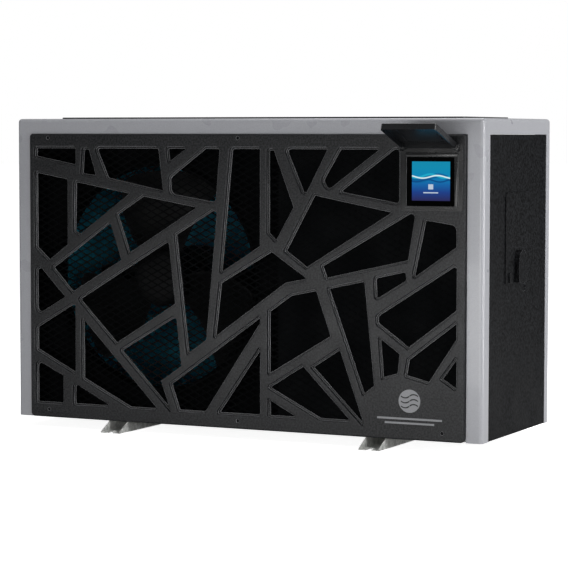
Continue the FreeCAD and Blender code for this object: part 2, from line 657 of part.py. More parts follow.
def make_fan():
    """Three-blade fan with its hub, shaft, motor and motor bracket."""
    stations = ((40, 62, 40, 0, 4.4), (95, 122, 31, -12, 3.8), (150, 170, 24, -8, 3.2),
                (225, 222, 19, 18, 2.6))
    sections = [blade_section(r, chord, math.radians(pitch), sweep, thick)
                for r, chord, pitch, sweep, thick in stations]
    blade = Part.makeLoft(sections, True)
    mid = Vector(cell("fan_x"), cell("hub_front") + 27, cell("fan_z"))
    blade.translate(mid)
    tip = Part.makeCylinder(cell("fan_radius"), 200, mid - Vector(0, 100, 0), Vector(0, 1, 0))
    blade = blade.common(tip)
    front = mid - Vector(0, 27, 0)
    hub = Part.makeCylinder(cell("hub_radius"), cell("hub_depth"), front, Vector(0, 1, 0))
    hub = hub.makeFillet(12, [e for e in hub.Edges if e.BoundBox.YMax < front.y + 0.1])
    rotor = hub
    for i in range(3):
        turned = blade.copy()
        turned.rotate(mid, Vector(0, 1, 0), 120 * i - 3)
        rotor = rotor.fuse(turned)
    bore = Part.makeCylinder(cell("shaft_radius") + 0.02, 90, mid, Vector(0, 1, 0))
    hollow = Part.makeCylinder(cell("hub_radius") - 5, cell("hub_depth"),
                               front + Vector(0, 12, 0), Vector(0, 1, 0))
    boss = Part.makeCylinder(16, cell("hub_depth") - 12, front + Vector(0, 12, 0),
                             Vector(0, 1, 0))
    rotor = rotor.cut(hollow.cut(boss)).cut(bore)
    keep_shape("fan_rotor", rotor)
    shaft = cylinder("shaft_radius", "motor_front + 60 - hub_front - 27",
                     ("fan_x", "hub_front + 27", "fan_z"), "y")
    keep("fan_shaft", shaft)
    can = cylinder("motor_radius", "motor_depth", ("fan_x", "motor_front", "fan_z"), "y")
    can = rounded(can, "corner", lambda e: e.BoundBox.YLength < 0.01)
    nose = cylinder(20, 12, ("fan_x", "motor_front - 10", "fan_z"), "y")
    bore = cylinder("shaft_radius + run_fit", 80, ("fan_x", "motor_front - 15", "fan_z"), "y")
    keep("fan_motor", cut(fuse(can, nose), bore))
    bar = box(("wall_x + width/2 - wall - 50", 14, 60),
              ("-width/2 + wall + 46", "motor_front + motor_depth", "fan_z - 52"))
    core = box(("wall_x + width/2", 12.5, 57),
               ("-width/2 - 10", "motor_front + motor_depth + 1.5", "fan_z - 50.5"))
    keep("motor_bracket", cut(bar, core))


# ---- refrigerant circuit ---------------------------------------------------------------

def make_evaporator():
    """Fin pack along the rear and left walls, and the bends at its tube ends."""
    back = "depth - side_thick - coil_gap - coil_thick"
    tall = "height - band - 6"
    rear_leg = box(("wall_x + width/2 - wall - 28", "coil_thick", tall),
                   ("-width/2 + wall + 8", back, "foot + sheet + 0.5"))
    side_leg = box(("coil_thick", "%s - ring_front - 9" % back, tall),
                   ("-width/2 + wall + 8", "ring_front + 9", "foot + sheet + 0.5"))
    keep("evaporator_coil", fuse(rear_leg, side_leg))
    bends = []
    end = cell("wall_x") - 20
    y = cell("depth") - cell("side_thick") - cell("coil_gap") - cell("coil_thick") / 2
    turn = 12
    for i in range(9):
        z = cell("foot") + 50 + i * 54
        bend = doc.addObject("Part::Torus", "bend")
        bind(bend, Radius1=turn, Radius2="tube_radius")
        bend.Angle3 = 180
        spin = Rotation(Vector(1, 0, 0), 90).multiply(Rotation(Vector(0, 0, 1), -90))
        bend.Placement = Placement(Vector(end, y, z), spin)
        bends.append(bend)
    keep("evaporator_bends", group(bends))


def make_partition():
    """Folded wall between the fan room and the machine room."""
    wall = box(("sheet", "depth - 44.6", "height - band - pan_height - 8"),
               ("wall_x", "ring_front - 8", "foot + sheet + 0.2"))
    flange = box((16, "sheet", "height - band - pan_height - 8"),
                 ("wall_x", "ring_front - 8", "foot + sheet + 0.2"))
    blank = box((24, "sheet", "height - band - pan_height - 10"),
                ("wall_x - 22.5", "depth - 52.6 + ring_front", "foot + pan_height + 1"))
    keep("partition_wall", fuse(wall, flange, blank))


def make_compressor():
    """Compressor shell, its rubber feet and the accumulator beside it."""
    x, y = cell("compressor_x"), cell("compressor_y")
    low = cell("foot") + cell("sheet")
    owner = body("compressor_body")
    drawing = sketch(owner, "XZ_Plane")
    r, tall = cell("compressor_radius"), cell("compressor_height")
    lines = outline([(0.01, 14), (r - 6, 14), (r, 26), (r, tall - 40), (r - 24, tall - 6),
                     (0.01, tall)], [0.001, 5, 5, 18, 12, 0.001])
    drawing.addGeometry(lines, False)
    turn = owner.newObject("PartDesign::Revolution", "compressor_turn")
    turn.Profile = drawing
    turn.ReferenceAxis = (drawing, ["V_Axis"])
    turn.Angle = 360
    doc.recompute()
    owner.Placement = Placement(Vector(x, y, low), Rotation())
    plate = cylinder("compressor_radius + 14", 4, (x, y, low + 16))
    keep("compressor", fuse(owner, plate))
    mounts = []
    for i in range(3):
        angle = math.radians(90 + 120 * i)
        reach = r + 6
        mounts.append(cylinder(9, 16, (x + reach * math.cos(angle), y + reach * math.sin(angle),
                                       low)))
    keep("compressor_mounts", group(mounts))
    side = x - r - 34
    can = cylinder(25, 150, (side, y, low + 50))
    can = rounded(can, "panel_round", lambda e: e.BoundBox.ZLength < 0.01)
    strap = box((11.9, 20, 10), (side + 22, y - 10, low + 120))
    keep("accumulator", fuse(can, strap))


def pipe(label, points, radius, bend):
    """Round tube along straight runs joined by tangent arcs."""
    count = len(points)
    edges = []
    last = Vector(*points[0])
    for i in range(1, count - 1):
        corner = Vector(*points[i])
        back = (Vector(*points[i - 1]) - corner).normalize()
        ahead = (Vector(*points[i + 1]) - corner).normalize()
        half = back.getAngle(ahead) / 2
        reach = bend / math.tan(half)
        middle = corner + (back + ahead).normalize() * bend * (1 / math.sin(half) - 1)
        edges.append(Part.LineSegment(last, corner + back * reach).toShape())
        edges.append(Part.Arc(corner + back * reach, middle, corner + ahead * reach).toShape())
        last = corner + ahead * reach
    edges.append(Part.LineSegment(last, Vector(*points[-1])).toShape())
    start = Vector(*points[0])
    heading = (Vector(*points[1]) - start).normalize()
    profile = Part.Wire(Part.makeCircle(radius, start, heading))
    tube = Part.Wire(edges).makePipeShell([profile], True, True)
    keep_shape(label, tube)


def make_circuit():
    """Valves, condenser vessel and copper pipes of the refrigerant circuit."""
    x, y = cell("compressor_x"), cell("compressor_y")
    low = cell("foot")
    vessel = cylinder("vessel_radius", "vessel_height", ("vessel_x", "vessel_y", "foot + 8"))
    vessel = rounded(vessel, "top_edge", lambda e: e.BoundBox.ZLength < 0.01)
    caps = [cylinder("vessel_radius + 4", 26, ("vessel_x", "vessel_y", z))
            for z in ("foot + 14", "foot + vessel_height - 26")]
    keep("condenser_vessel", fuse(vessel, *caps))
    valve_y, valve_z = y + 105, low + 330
    barrel = cylinder(14, 84, (x - 42, valve_y, valve_z), "x")
    ports = [cylinder(7, 26, (x + side, valve_y, valve_z - 30)) for side in (-24, 0, 24)]
    coil = cylinder(16, 22, (x, valve_y - 40, valve_z), "y")
    stem = cylinder(6, 20, (x, valve_y - 26, valve_z), "y")
    keep("reversing_valve", fuse(barrel, coil, stem, *ports))
    bulb = cylinder(12, 36, (x - 95, y + 170, low + 250))
    cap = cylinder(15, 22, (x - 95, y + 170, low + 282))
    keep("expansion_valve", fuse(bulb, cap))
    top = low + cell("compressor_height") + 1.5
    pipe("discharge_pipe", [(x, y, top + 0.1), (x, y, top + 40), (x, valve_y, top + 40),
                            (x, valve_y, valve_z - 30)], 5, 14)
    pipe("suction_pipe", [(x - 94, y, low + 201.7), (x - 94, y, top + 22),
                          (x - 24, valve_y, top + 22), (x - 24, valve_y, valve_z - 30)], 7, 16)
    pipe("liquid_pipe", [(x - 95, y + 170, low + 249.9), (x - 95, y + 170, low + 150),
                         (x - 10, y + 170, low + 150), (x - 10, y + 170, low + 60),
                         (x - 60, y + 170, low + 60)], 5, 14)


def make_water_port(name, height):
    """Pipe stub, union nut and pipe socket of one water connection."""
    centre = ("vessel_x", height)
    stub = cylinder("stub_radius", "stub_end - vessel_y - 30", (centre[0], "vessel_y + 30",
                                                                centre[1]), "y")
    bore = cylinder("stub_bore", 200, (centre[0], "vessel_y + 60", centre[1]), "y")
    jacket = cylinder("vessel_radius + 0.2", 400, ("vessel_x", "vessel_y", 0))
    collar = cylinder("stub_radius + 6", 5, (centre[0], "depth + 2", centre[1]), "y")
    keep("water_stub_" + name, cut(fuse(stub, collar), bore, jacket))
    nut = cylinder("nut_radius - 3", "nut_length", (centre[0], "stub_end - 22", centre[1]), "y")
    ribs = []
    for i in range(8):
        rib = doc.addObject("Part::Box", "rib")
        bind(rib, Length=11, Width="nut_length - 4", Height="nut_radius - 30")
        angle = 45 * i
        spin = Rotation(Vector(0, 1, 0), angle)
        start = Vector(cell("vessel_x"), cell("stub_end") - 20, cell_value(height))
        rib.Placement = Placement(start + spin.multVec(Vector(-5.5, 0, 30)), spin)
        ribs.append(rib)
    inner = cylinder("stub_radius + run_fit", 28.3, (centre[0], "stub_end - 22", centre[1]), "y")
    lip = cylinder("socket_radius + 0.3", 60, (centre[0], "stub_end - 30", centre[1]), "y")
    keep("union_nut_" + name, cut(fuse(nut, *ribs), inner, lip))
    flange = cylinder("stub_radius - 0.4", 6, (centre[0], "stub_end", centre[1]), "y")
    tail = cylinder("socket_radius", "socket_end - stub_end", (centre[0], "stub_end",
                                                               centre[1]), "y")
    through = cylinder("stub_bore", 80, (centre[0], "stub_end - 5", centre[1]), "y")
    socket = cylinder("socket_bore", 60, (centre[0], "socket_end - 32", centre[1]), "y")
    keep("union_socket_" + name, cut(fuse(flange, tail), through, socket))


# ---- electrics -------------------------------------------------------------------------

def make_electrics():
    """Control tray under the top with its board, power parts and terminal block."""
    low = "box_floor"
    tray = box((352, 262, 56), ("wall_x + 12", 44, low))
    inside = box((349, 259, 56), ("wall_x + 13.5", 45.5, "box_floor + 1.5"))
    keep("control_tray", cut(tray, inside))
    board = box((210, 150, 1.6), ("wall_x + 26", 62, "box_floor + 8"))
    chips = [box((26, 18, 16), (x, 90, "box_floor + 9.6")) for x in (130, 164, 198)]
    cans = [cylinder(11, 32, (x, 180, "box_floor + 9.6")) for x in (136, 164, 192, 220)]
    sink = [box((3, 70, 30), (250 + 8 * i, 80, "box_floor + 9.6")) for i in range(7)]
    base = box((54, 70, 4), (248, 80, "box_floor + 9.6"))
    keep("circuit_board", fuse(board, base, *chips, *cans, *sink))
    block = box((70, 22, 22), (356, 100, "box_floor + 6"))
    screws = [cylinder(3, 24, (366 + 12.5 * i, 111, "box_floor + 6")) for i in range(5)]
    pits = [cylinder(4.4, 8, (366 + 12.5 * i, 111, "box_floor + 22")) for i in range(5)]
    keep("terminal_block", fuse(cut(block, *pits), *screws))


# ---- display ---------------------------------------------------------------------------

def make_display():
    """Bezel with its surround and hinge ears, the glass, and the pins of the flap."""
    proud = cell("panel_proud")
    owner = body("display_bezel_body")
    surround = sketch(owner, "XZ_Plane", proud)
    surround.addGeometry(upright_frame("surround", 0, 3), False)
    pad(owner, surround, "surround_thick")
    flange = sketch(owner, "XZ_Plane", proud)
    flange.addGeometry(upright_frame("bezel", 0, 4), False)
    pad(owner, flange, "bezel_front")
    soften(owner, "rim_edge", lambda e: e.BoundBox.YMax < 0.01 - proud - cell("bezel_front"))
    stem = sketch(owner, "XZ_Plane", proud)
    stem.addGeometry(upright_frame("stem", 0, 3.6), False)
    pad(owner, stem, "panel_thick + 8", backwards=True)
    window = sketch(owner, "XZ_Plane", proud + cell("bezel_front"))
    window.addGeometry(glass_outline(0, 2), False)
    pocket(owner, window, "bezel_front + 2")
    ears = []
    for side in (-1, 1):
        inner_face = cell("flap_x") + side * (cell("flap_width") / 2 + 0.4)
        start = inner_face if side > 0 else inner_face - 3.4
        post = box((3.4, "4.5 - hinge_y - panel_proud", 12),
                   (start, "hinge_y - 4.5", "hinge_z - 6.5"))
        hole = cylinder("hinge_pin", 20, (start - 5, "hinge_y", "hinge_z"), "x")
        ears.append(cut(post, hole))
    keep("display_bezel", fuse(owner, *ears))
    glass = body("display_glass_body")
    face = sketch(glass, "XZ_Plane", proud - 1.9)
    face.addGeometry(glass_outline(0.2, 1.8), False)
    pad(glass, face, 3)
    keep("display_glass", glass)
    pins = [cylinder("hinge_pin - run_fit", 9, (start, "hinge_y", "hinge_z"), "x")
            for start in ("flap_x - flap_width/2 - 3.8", "flap_x + flap_width/2 - 5.2")]
    keep("flap_pins", group(pins))


def glass_outline(margin, radius):
    """Outline of the display's glass, shrunk by margin."""
    x, z = cell("glass_x"), cell("glass_z")
    across, tall = cell("glass_width") / 2 - margin, cell("glass_height") / 2 - margin
    return outline([(x - across, z - tall), (x + across, z - tall),
                    (x + across, z + tall), (x - across, z + tall)], [radius] * 4)


def make_flap():
    """Shallow tray that closes over the display, modelled shut and then opened."""
    wide, tall = cell("flap_width"), cell("flap_length")
    deep, sheet = cell("flap_depth"), cell("flap_sheet")
    x, hinge = cell("flap_x"), Vector(cell("flap_x"), cell("hinge_y"), cell("hinge_z"))
    outer, high = hinge.y - deep + 1, hinge.z - 1.5
    low = high - tall
    tray = Part.makeBox(wide, deep, tall, Vector(x - wide / 2, outer, low))
    tray = tray.makeFillet(5, [e for e in tray.Edges if e.BoundBox.YLength > deep - 0.1
                               and e.BoundBox.ZMax < high - 1])
    tray = tray.makeFillet(1.2, [e for e in tray.Edges if e.BoundBox.YMax < outer + 0.01])
    hollow = Part.makeBox(wide - 2 * sheet, deep, tall - 2 * sheet,
                          Vector(x - wide / 2 + sheet, outer + sheet, low + sheet))
    hollow = hollow.makeFillet(3, [e for e in hollow.Edges if e.BoundBox.YLength > deep - 0.1])
    tray = tray.cut(hollow)
    for side in (-1, 1):
        start = x + side * (wide / 2 - 3) - 3
        boss = Part.makeCylinder(3, 6, hinge - Vector(x - start, 0, 0), Vector(1, 0, 0))
        lug = Part.makeBox(6, 6, 7, Vector(start, hinge.y - 6, hinge.z - 6.5))
        tray = tray.fuse(boss.fuse(lug))
        bore = Part.makeCylinder(cell("hinge_pin"), 8, hinge - Vector(x - start + 1, 0, 0),
                                 Vector(1, 0, 0))
        tray = tray.cut(bore)
    tray.rotate(hinge, Vector(1, 0, 0), -cell("open_angle"))
    keep_shape("display_flap", tray)


def export():
    """Check every object and write one STEP file per sub-part."""
    doc.recompute()
    for obj in doc.Objects:
        if "Invalid" in obj.State or "Error" in obj.State:
            raise RuntimeError("%s failed: %s" % (obj.Name, obj.State))
    os.makedirs("parts", exist_ok=True)
    for label, obj in parts.items():
        shape = obj.Shape
        if shape.isNull() or not shape.isValid() or not shape.Solids:
            raise RuntimeError("%s has no valid solid" % label)
        shape.exportStep(os.path.join("parts", label + ".step"))
        print("%-24s %3d solids %10.0f mm3" % (label, len(shape.Solids), shape.Volume))
    whole = Part.makeCompound([obj.Shape for obj in parts.values()])
    print("box", whole.BoundBox)


make_frame_cover()
make_top_insert()
make_front_panel()
make_protective_mesh()
make_front_frame()
make_base_pan()
make_foot_rail("foot_rail_left", "rail_left_x")
make_foot_rail("foot_rail_right", "rail_right_x")
make_side_panels()
make_wiring_cover()
make_rear()
make_screws()
make_badge()
make_fan_deck()
make_fan()
make_evaporator()
make_partition()
make_compressor()
make_circuit()
make_water_port("inlet", "inlet_z")
make_water_port("outlet", "outlet_z")
make_electrics()
make_display()
make_flap()
export()
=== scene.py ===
"""Looks of an outdoor pool heat pump unit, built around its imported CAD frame.

Every length is in metres and every place is in the part's own frame: +Z up, the front
panel faces -Y, +X to the right as seen from the front.
"""

import logging
import math
from dataclasses import dataclass, field
from enum import Enum
from typing import Optional, Sequence

import bmesh
import bpy
from mathutils import Matrix, Vector

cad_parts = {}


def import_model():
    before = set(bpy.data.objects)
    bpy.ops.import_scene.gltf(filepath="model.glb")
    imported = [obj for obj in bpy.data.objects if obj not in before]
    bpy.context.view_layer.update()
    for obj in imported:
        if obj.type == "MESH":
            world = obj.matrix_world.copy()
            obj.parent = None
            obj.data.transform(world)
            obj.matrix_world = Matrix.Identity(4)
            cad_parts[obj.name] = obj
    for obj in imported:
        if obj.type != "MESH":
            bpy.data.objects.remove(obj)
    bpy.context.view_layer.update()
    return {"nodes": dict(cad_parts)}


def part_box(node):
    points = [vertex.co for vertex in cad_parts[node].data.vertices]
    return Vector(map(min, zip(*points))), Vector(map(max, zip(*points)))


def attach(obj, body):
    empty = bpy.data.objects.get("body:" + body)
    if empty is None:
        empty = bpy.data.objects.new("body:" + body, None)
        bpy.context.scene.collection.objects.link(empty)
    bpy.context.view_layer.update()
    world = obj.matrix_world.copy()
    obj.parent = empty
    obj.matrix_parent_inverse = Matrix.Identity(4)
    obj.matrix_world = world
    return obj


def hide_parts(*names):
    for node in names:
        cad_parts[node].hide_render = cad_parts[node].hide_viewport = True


LOG = logging.getLogger("heat_pump")
MM = 0.001
# Origin of the casing's own frame, which is drawn in millimetres.
CASING_X = -0.0054
CASING_Y = -0.1591
# Vertices nearer than this are one.
WELD = 1e-6
# Size of the broad, faint change of roughness on every finish.
BROAD_GRAIN = 60 * MM
# Rays that the rounded normal at an edge is averaged over.
EDGE_SAMPLES = 6
# Cosine between a face and its rounded normal where the painted edge highlight starts and
# where it is full.
EDGE_HIGHLIGHT_STARTS = 0.98
EDGE_HIGHLIGHT_FULL = 0.8


class Body(Enum):
    """Rigid bodies that the pieces ride on."""

    CASING = "casing"
    FAN = "fan"
    FLAP = "flap"


class Axis(Enum):
    """Direction that a turned piece stands along."""

    X = "x"
    Y = "y"


AXIS_TURN = {
    Axis.X: Matrix.Rotation(math.radians(90), 4, "Y"),
    Axis.Y: Matrix.Rotation(math.radians(-90), 4, "X"),
}


def at(x: float, y: float, z: float) -> Vector:
    """Point of the row frame for a point of the casing's own frame in millimetres."""
    return Vector((x * MM + CASING_X, y * MM + CASING_Y, z * MM))


def linear(colour: str) -> tuple[float, float, float, float]:
    """Turn an sRGB hex colour into linear values.

    Args:
        colour: Six hex digits.

    Returns:
        Red, green, blue and full alpha.
    """
    parts = [int(colour[i:i + 2], 16) / 255 for i in (0, 2, 4)]
    curve = [p / 12.92 if p <= 0.04045 else ((p + 0.055) / 1.055) ** 2.4 for p in parts]
    return (curve[0], curve[1], curve[2], 1.0)


def add_node(tree: bpy.types.NodeTree, kind: str, links: Optional[dict] = None,
             **settings: object) -> bpy.types.Node:
    """Add a node with its settings and links.

    Args:
        tree: Tree that takes the node.
        kind: Node type such as "ShaderNodeTexNoise".
        links: Input name or number to the output socket that feeds it.
        settings: Node attributes, or input values as a dict named inputs.

    Returns:
        The new node.
    """
    node = tree.nodes.new(kind)
    values = settings.pop("inputs", {})
    for name, value in settings.items():
        setattr(node, name, value)
    for name, value in values.items():
        node.inputs[name].default_value = value
    for name, socket in (links or {}).items():
        tree.links.new(socket, node.inputs[name])
    return node


# ---- finishes --------------------------------------------------------------------------


@dataclass(frozen=True)
class Finish:
    """Surface that a piece is made with.

    Attributes:
        name: What the surface is called.
        colour: Main sRGB colour.
        dark: sRGB colour of the lows of the pattern.
        metallic: Share of metal.
        roughness: Mean roughness.
        spread: How far the roughness goes up and down with the pattern.
        grain: Size of the pattern in millimetres.
        bump: Height of the relief in millimetres.
        coat: Weight of a clear coat.
        shine: Strength of the plain reflection, 0.5 for common plastic.
        soft_edge: Radius in millimetres that its sharp edges are rounded to in shading; the
            painted edge highlight runs as wide.
        painted_edge_highlight: sRGB colour of the highlight painted along the edges.
    """

    name: str
    colour: str
    dark: str
    metallic: float = 0.0
    roughness: float = 0.5
    spread: float = 0.08
    grain: float = 1.0
    bump: float = 0.05
    coat: float = 0.0
    shine: float = 0.5
    soft_edge: float = 0.0
    painted_edge_highlight: str = "96979a"

    def material(self) -> bpy.types.Material:
        """Material of this finish, made once."""
        found = bpy.data.materials.get(self.name)
        return found or self.build()

    def build(self) -> bpy.types.Material:
        """Make the material's nodes."""
        made = bpy.data.materials.new(self.name)
        made.use_nodes = True
        tree = made.node_tree
        tree.nodes.clear()
        place = add_node(tree, "ShaderNodeTexCoord").outputs["Object"]
        fine = add_node(tree, "ShaderNodeTexNoise", {"Vector": place},
                        inputs={"Scale": 1 / (self.grain * MM), "Detail": 4.0,
                                "Roughness": 0.6})
        broad = add_node(tree, "ShaderNodeTexNoise", {"Vector": place},
                         inputs={"Scale": 1 / BROAD_GRAIN, "Detail": 2.0})
        tone = add_node(tree, "ShaderNodeValToRGB", {"Fac": fine.outputs["Fac"]})
        tone.color_ramp.elements[0].position = 0.4
        tone.color_ramp.elements[1].position = 0.6
        tone.color_ramp.elements[0].color = linear(self.dark)
        tone.color_ramp.elements[1].color = linear(self.colour)
        rough = add_node(tree, "ShaderNodeMapRange", {"Value": broad.outputs["Fac"]},
                         inputs={"From Min": 0.3, "From Max": 0.7,
                                 "To Min": max(0.02, self.roughness - self.spread),
                                 "To Max": min(1.0, self.roughness + self.spread)})
        relief = add_node(tree, "ShaderNodeBump", {"Height": fine.outputs["Fac"]},
                          inputs={"Strength": 1.0, "Distance": self.bump * MM})
        colour = tone.outputs["Color"]
        if self.soft_edge:
            round_off = add_node(tree, "ShaderNodeBevel", samples=EDGE_SAMPLES,
                                 inputs={"Radius": self.soft_edge * MM})
            tree.links.new(round_off.outputs["Normal"], relief.inputs["Normal"])
            # Pale painted highlight along the rounded edges.
            colour = self.paint_edge_highlight(tree, round_off.outputs["Normal"], colour)
        shader = add_node(tree, "ShaderNodeBsdfPrincipled",
                          {"Base Color": colour,
                           "Roughness": rough.outputs["Result"],
                           "Normal": relief.outputs["Normal"]},
                          inputs={"Metallic": self.metallic, "Coat Weight": self.coat,
                                  "Specular IOR Level": self.shine})
        add_node(tree, "ShaderNodeOutputMaterial", {"Surface": shader.outputs["BSDF"]})
        return made

    def paint_edge_highlight(self, tree: bpy.types.NodeTree, rounded: bpy.types.NodeSocket,
               colour: bpy.types.NodeSocket) -> bpy.types.NodeSocket:
        """Paint a pale highlight into the colour along the rounded edges.

        Args:
            tree: Tree of the material.
            rounded: Normal with its edges rounded off.
            colour: Colour away from the edges.

        Returns:
            The colour with a painted highlight along the edges.
        """
        face = add_node(tree, "ShaderNodeNewGeometry")
        same = add_node(tree, "ShaderNodeVectorMath",
                        {0: rounded, 1: face.outputs["Normal"]}, operation="DOT_PRODUCT")
        edge = add_node(tree, "ShaderNodeMapRange", {"Value": same.outputs["Value"]},
                        inputs={"From Min": EDGE_HIGHLIGHT_STARTS, "From Max": EDGE_HIGHLIGHT_FULL})
        mix = add_node(tree, "ShaderNodeMixRGB", {"Fac": edge.outputs[0], "Color1": colour},
                       inputs={"Color2": linear(self.painted_edge_highlight)})
        return mix.outputs[0]


# Powder coat over folded steel: a satin grey with a faint orange-peel relief.
COVER_GREY = Finish("satin_grey_powder_coat", "a4a5aa", "9e9fa4", 0.0, 0.3, 0.04, 1.6, 0.01,
                    coat=0.3)
# Moulded ABS with a spark-eroded grain: matt charcoal with pale specks.
# The grain is drawn about twice its real size, or it would not show. Its edges carry a pale
# painted highlight.
PANEL_ABS = Finish("grained_charcoal_abs", "2a2b2d", "090a0c", 0.0, 0.38, 0.05, 3.4, 0.06,
                   shine=0.26, soft_edge=1.8)
# Textured black powder coat on steel: coarser specks than the moulding, and a pale painted
# highlight along its edges.
SIDE_BLACK = Finish("textured_black_powder_coat", "1c1d1f", "030304", 0.0, 0.48, 0.05, 5.0,
                    0.12, shine=0.05, soft_edge=0.8, painted_edge_highlight="5c5d60")
# Expanded steel mesh, dipped in satin black paint.
MESH_BLACK = Finish("matt_black_dip", "040506", "020304", 0.0, 0.8, 0.1, 4, 0.05, shine=0.06)
# Hot-dip galvanised steel: pale grey with soft spangle.
GALVANISED = Finish("galvanised_steel", "dddedb", "b4b5b2", 0.25, 0.4, 0.1, 9, 0.02)
# Small black mouldings.
BLACK_ABS = Finish("satin_black_abs", "1b1c1e", "121315", 0.0, 0.32, 0.06, 2.2, 0.03)
# The same moulding, polished: the bezel and the lid pick up clear streaks of light, and a pale
# highlight is painted along their edges.
GLOSS_ABS = Finish("polished_black_abs", "111214", "0b0c0d", 0.0, 0.24, 0.05, 4, 0.01,
                   soft_edge=0.9, painted_edge_highlight="5a5b5e")
# Stove-enamelled black sheet inside the fan room, darkened to nearly black as painted shade,
# so that it drops out of sight.
INNER_BLACK = Finish("black_enamel_and_painted_shade", "040506", "020304", 0.0, 0.8, 0.1, 3, 0.05,
                     shine=0.06)
# Blackened screws.
BLACK_STEEL = Finish("black_oxide_steel", "1a1a1c", "0c0c0d", 0.9, 0.45, 0.1, 1, 0.02)
# Tampon print on the panel.
PRINT_GREY = Finish("silver_grey_print", "8c8d90", "848588", 0.0, 0.5, 0.05, 1.5, 0.04)
# Glass-filled nylon of the fan.
FAN_NYLON = Finish("black_nylon", "060708", "040505", 0.0, 0.6, 0.08, 2, 0.05, shine=0.15)
MOTOR_BLACK = Finish("black_enamel_cast_iron", "0c0d0e", "070808", 0.0, 0.5, 0.1, 3, 0.1,
                     shine=0.2)
GROUND_STEEL = Finish("ground_steel", "c0c0c0", "a8a8a8", 1.0, 0.25, 0.08, 0.6, 0.01)
# Aluminium fins with a blue-green hydrophilic coat, painted paler than the coat is as painted
# light, so that the coil shows in the dark fan room.
FIN_COAT = Finish("blue_hydrophilic_aluminium", "35b3cf", "2593ad", 0.2, 0.4, 0.1, 6, 0.02)
COPPER = Finish("drawn_copper", "c27c56", "a5603f", 1.0, 0.28, 0.1, 8, 0.01)
ENAMEL_BLACK = Finish("gloss_black_enamel", "121315", "0d0e10", 0.0, 0.22, 0.08, 20, 0.05)
RUBBER = Finish("moulded_rubber", "141414", "0e0e0e", 0.0, 0.75, 0.08, 1.5, 0.05)
PVC_GREY = Finish("grey_pvc", "4a4e54", "41454b", 0.0, 0.35, 0.08, 5, 0.03)
PVC_WHITE = Finish("white_pvc", "dcdddb", "d0d1cf", 0.0, 0.3, 0.06, 5, 0.03)
PVC_BLUE = Finish("blue_pvc", "24507f", "1c4470", 0.0, 0.34, 0.08, 3, 0.04)
PVC_RED = Finish("red_pvc", "9a2c24", "84231d", 0.0, 0.34, 0.08, 3, 0.04)
BOARD = Finish("green_solder_mask", "12563a", "0c4229", 0.0, 0.3, 0.1, 2, 0.02)
TERMINAL = Finish("ivory_nylon", "cfccbd", "c0bdae", 0.0, 0.45, 0.08, 2, 0.03)
BRASS = Finish("turned_brass", "c2a25a", "a98a45", 1.0, 0.25, 0.1, 0.8, 0.01)
LENS = Finish("black_touch_glass", "020304", "020304", 0.0, 0.08, 0.02, 30, 0.0, coat=1.0)

NODE_FINISH = {
    "frame_cover": COVER_GREY, "top_insert": BLACK_ABS, "front_panel": PANEL_ABS,
    "protective_mesh": MESH_BLACK, "base_pan": GALVANISED, "drain_spout": BLACK_ABS,
    "foot_rail_left": GALVANISED, "foot_rail_right": GALVANISED,
    "side_panel_right": SIDE_BLACK, "side_panel_left": SIDE_BLACK,
    "wiring_cover": SIDE_BLACK, "cable_hood": SIDE_BLACK, "cover_latch": SIDE_BLACK,
    "coil_guard_rear": SIDE_BLACK, "rear_panel": SIDE_BLACK, "cable_glands": BLACK_ABS,
    "front_screws": BLACK_STEEL, "side_screws": BLACK_STEEL, "badge_emblem": PRINT_GREY,
    "badge_bars": PRINT_GREY, "front_frame": INNER_BLACK, "fan_deck": INNER_BLACK,
    "fan_rotor": FAN_NYLON,
    "fan_shaft": GROUND_STEEL, "fan_motor": MOTOR_BLACK, "motor_bracket": MOTOR_BLACK,
    "evaporator_coil": FIN_COAT, "evaporator_bends": COPPER, "partition_wall": GALVANISED,
    "compressor": ENAMEL_BLACK, "compressor_mounts": RUBBER, "accumulator": ENAMEL_BLACK,
    "condenser_vessel": PVC_GREY, "reversing_valve": BRASS, "expansion_valve": BRASS,
    "discharge_pipe": COPPER, "suction_pipe": COPPER, "liquid_pipe": COPPER,
    "water_stub_inlet": PVC_WHITE, "union_nut_inlet": PVC_BLUE,
    "union_socket_inlet": PVC_WHITE, "water_stub_outlet": PVC_WHITE,
    "union_nut_outlet": PVC_RED, "union_socket_outlet": PVC_WHITE,
    "control_tray": GALVANISED, "circuit_board": BOARD, "terminal_block": TERMINAL,
    "display_bezel": GLOSS_ABS, "display_glass": LENS, "flap_pins": GROUND_STEEL,
    "display_flap": BLACK_ABS,
}


# ---- pieces ----------------------------------------------------------------------------


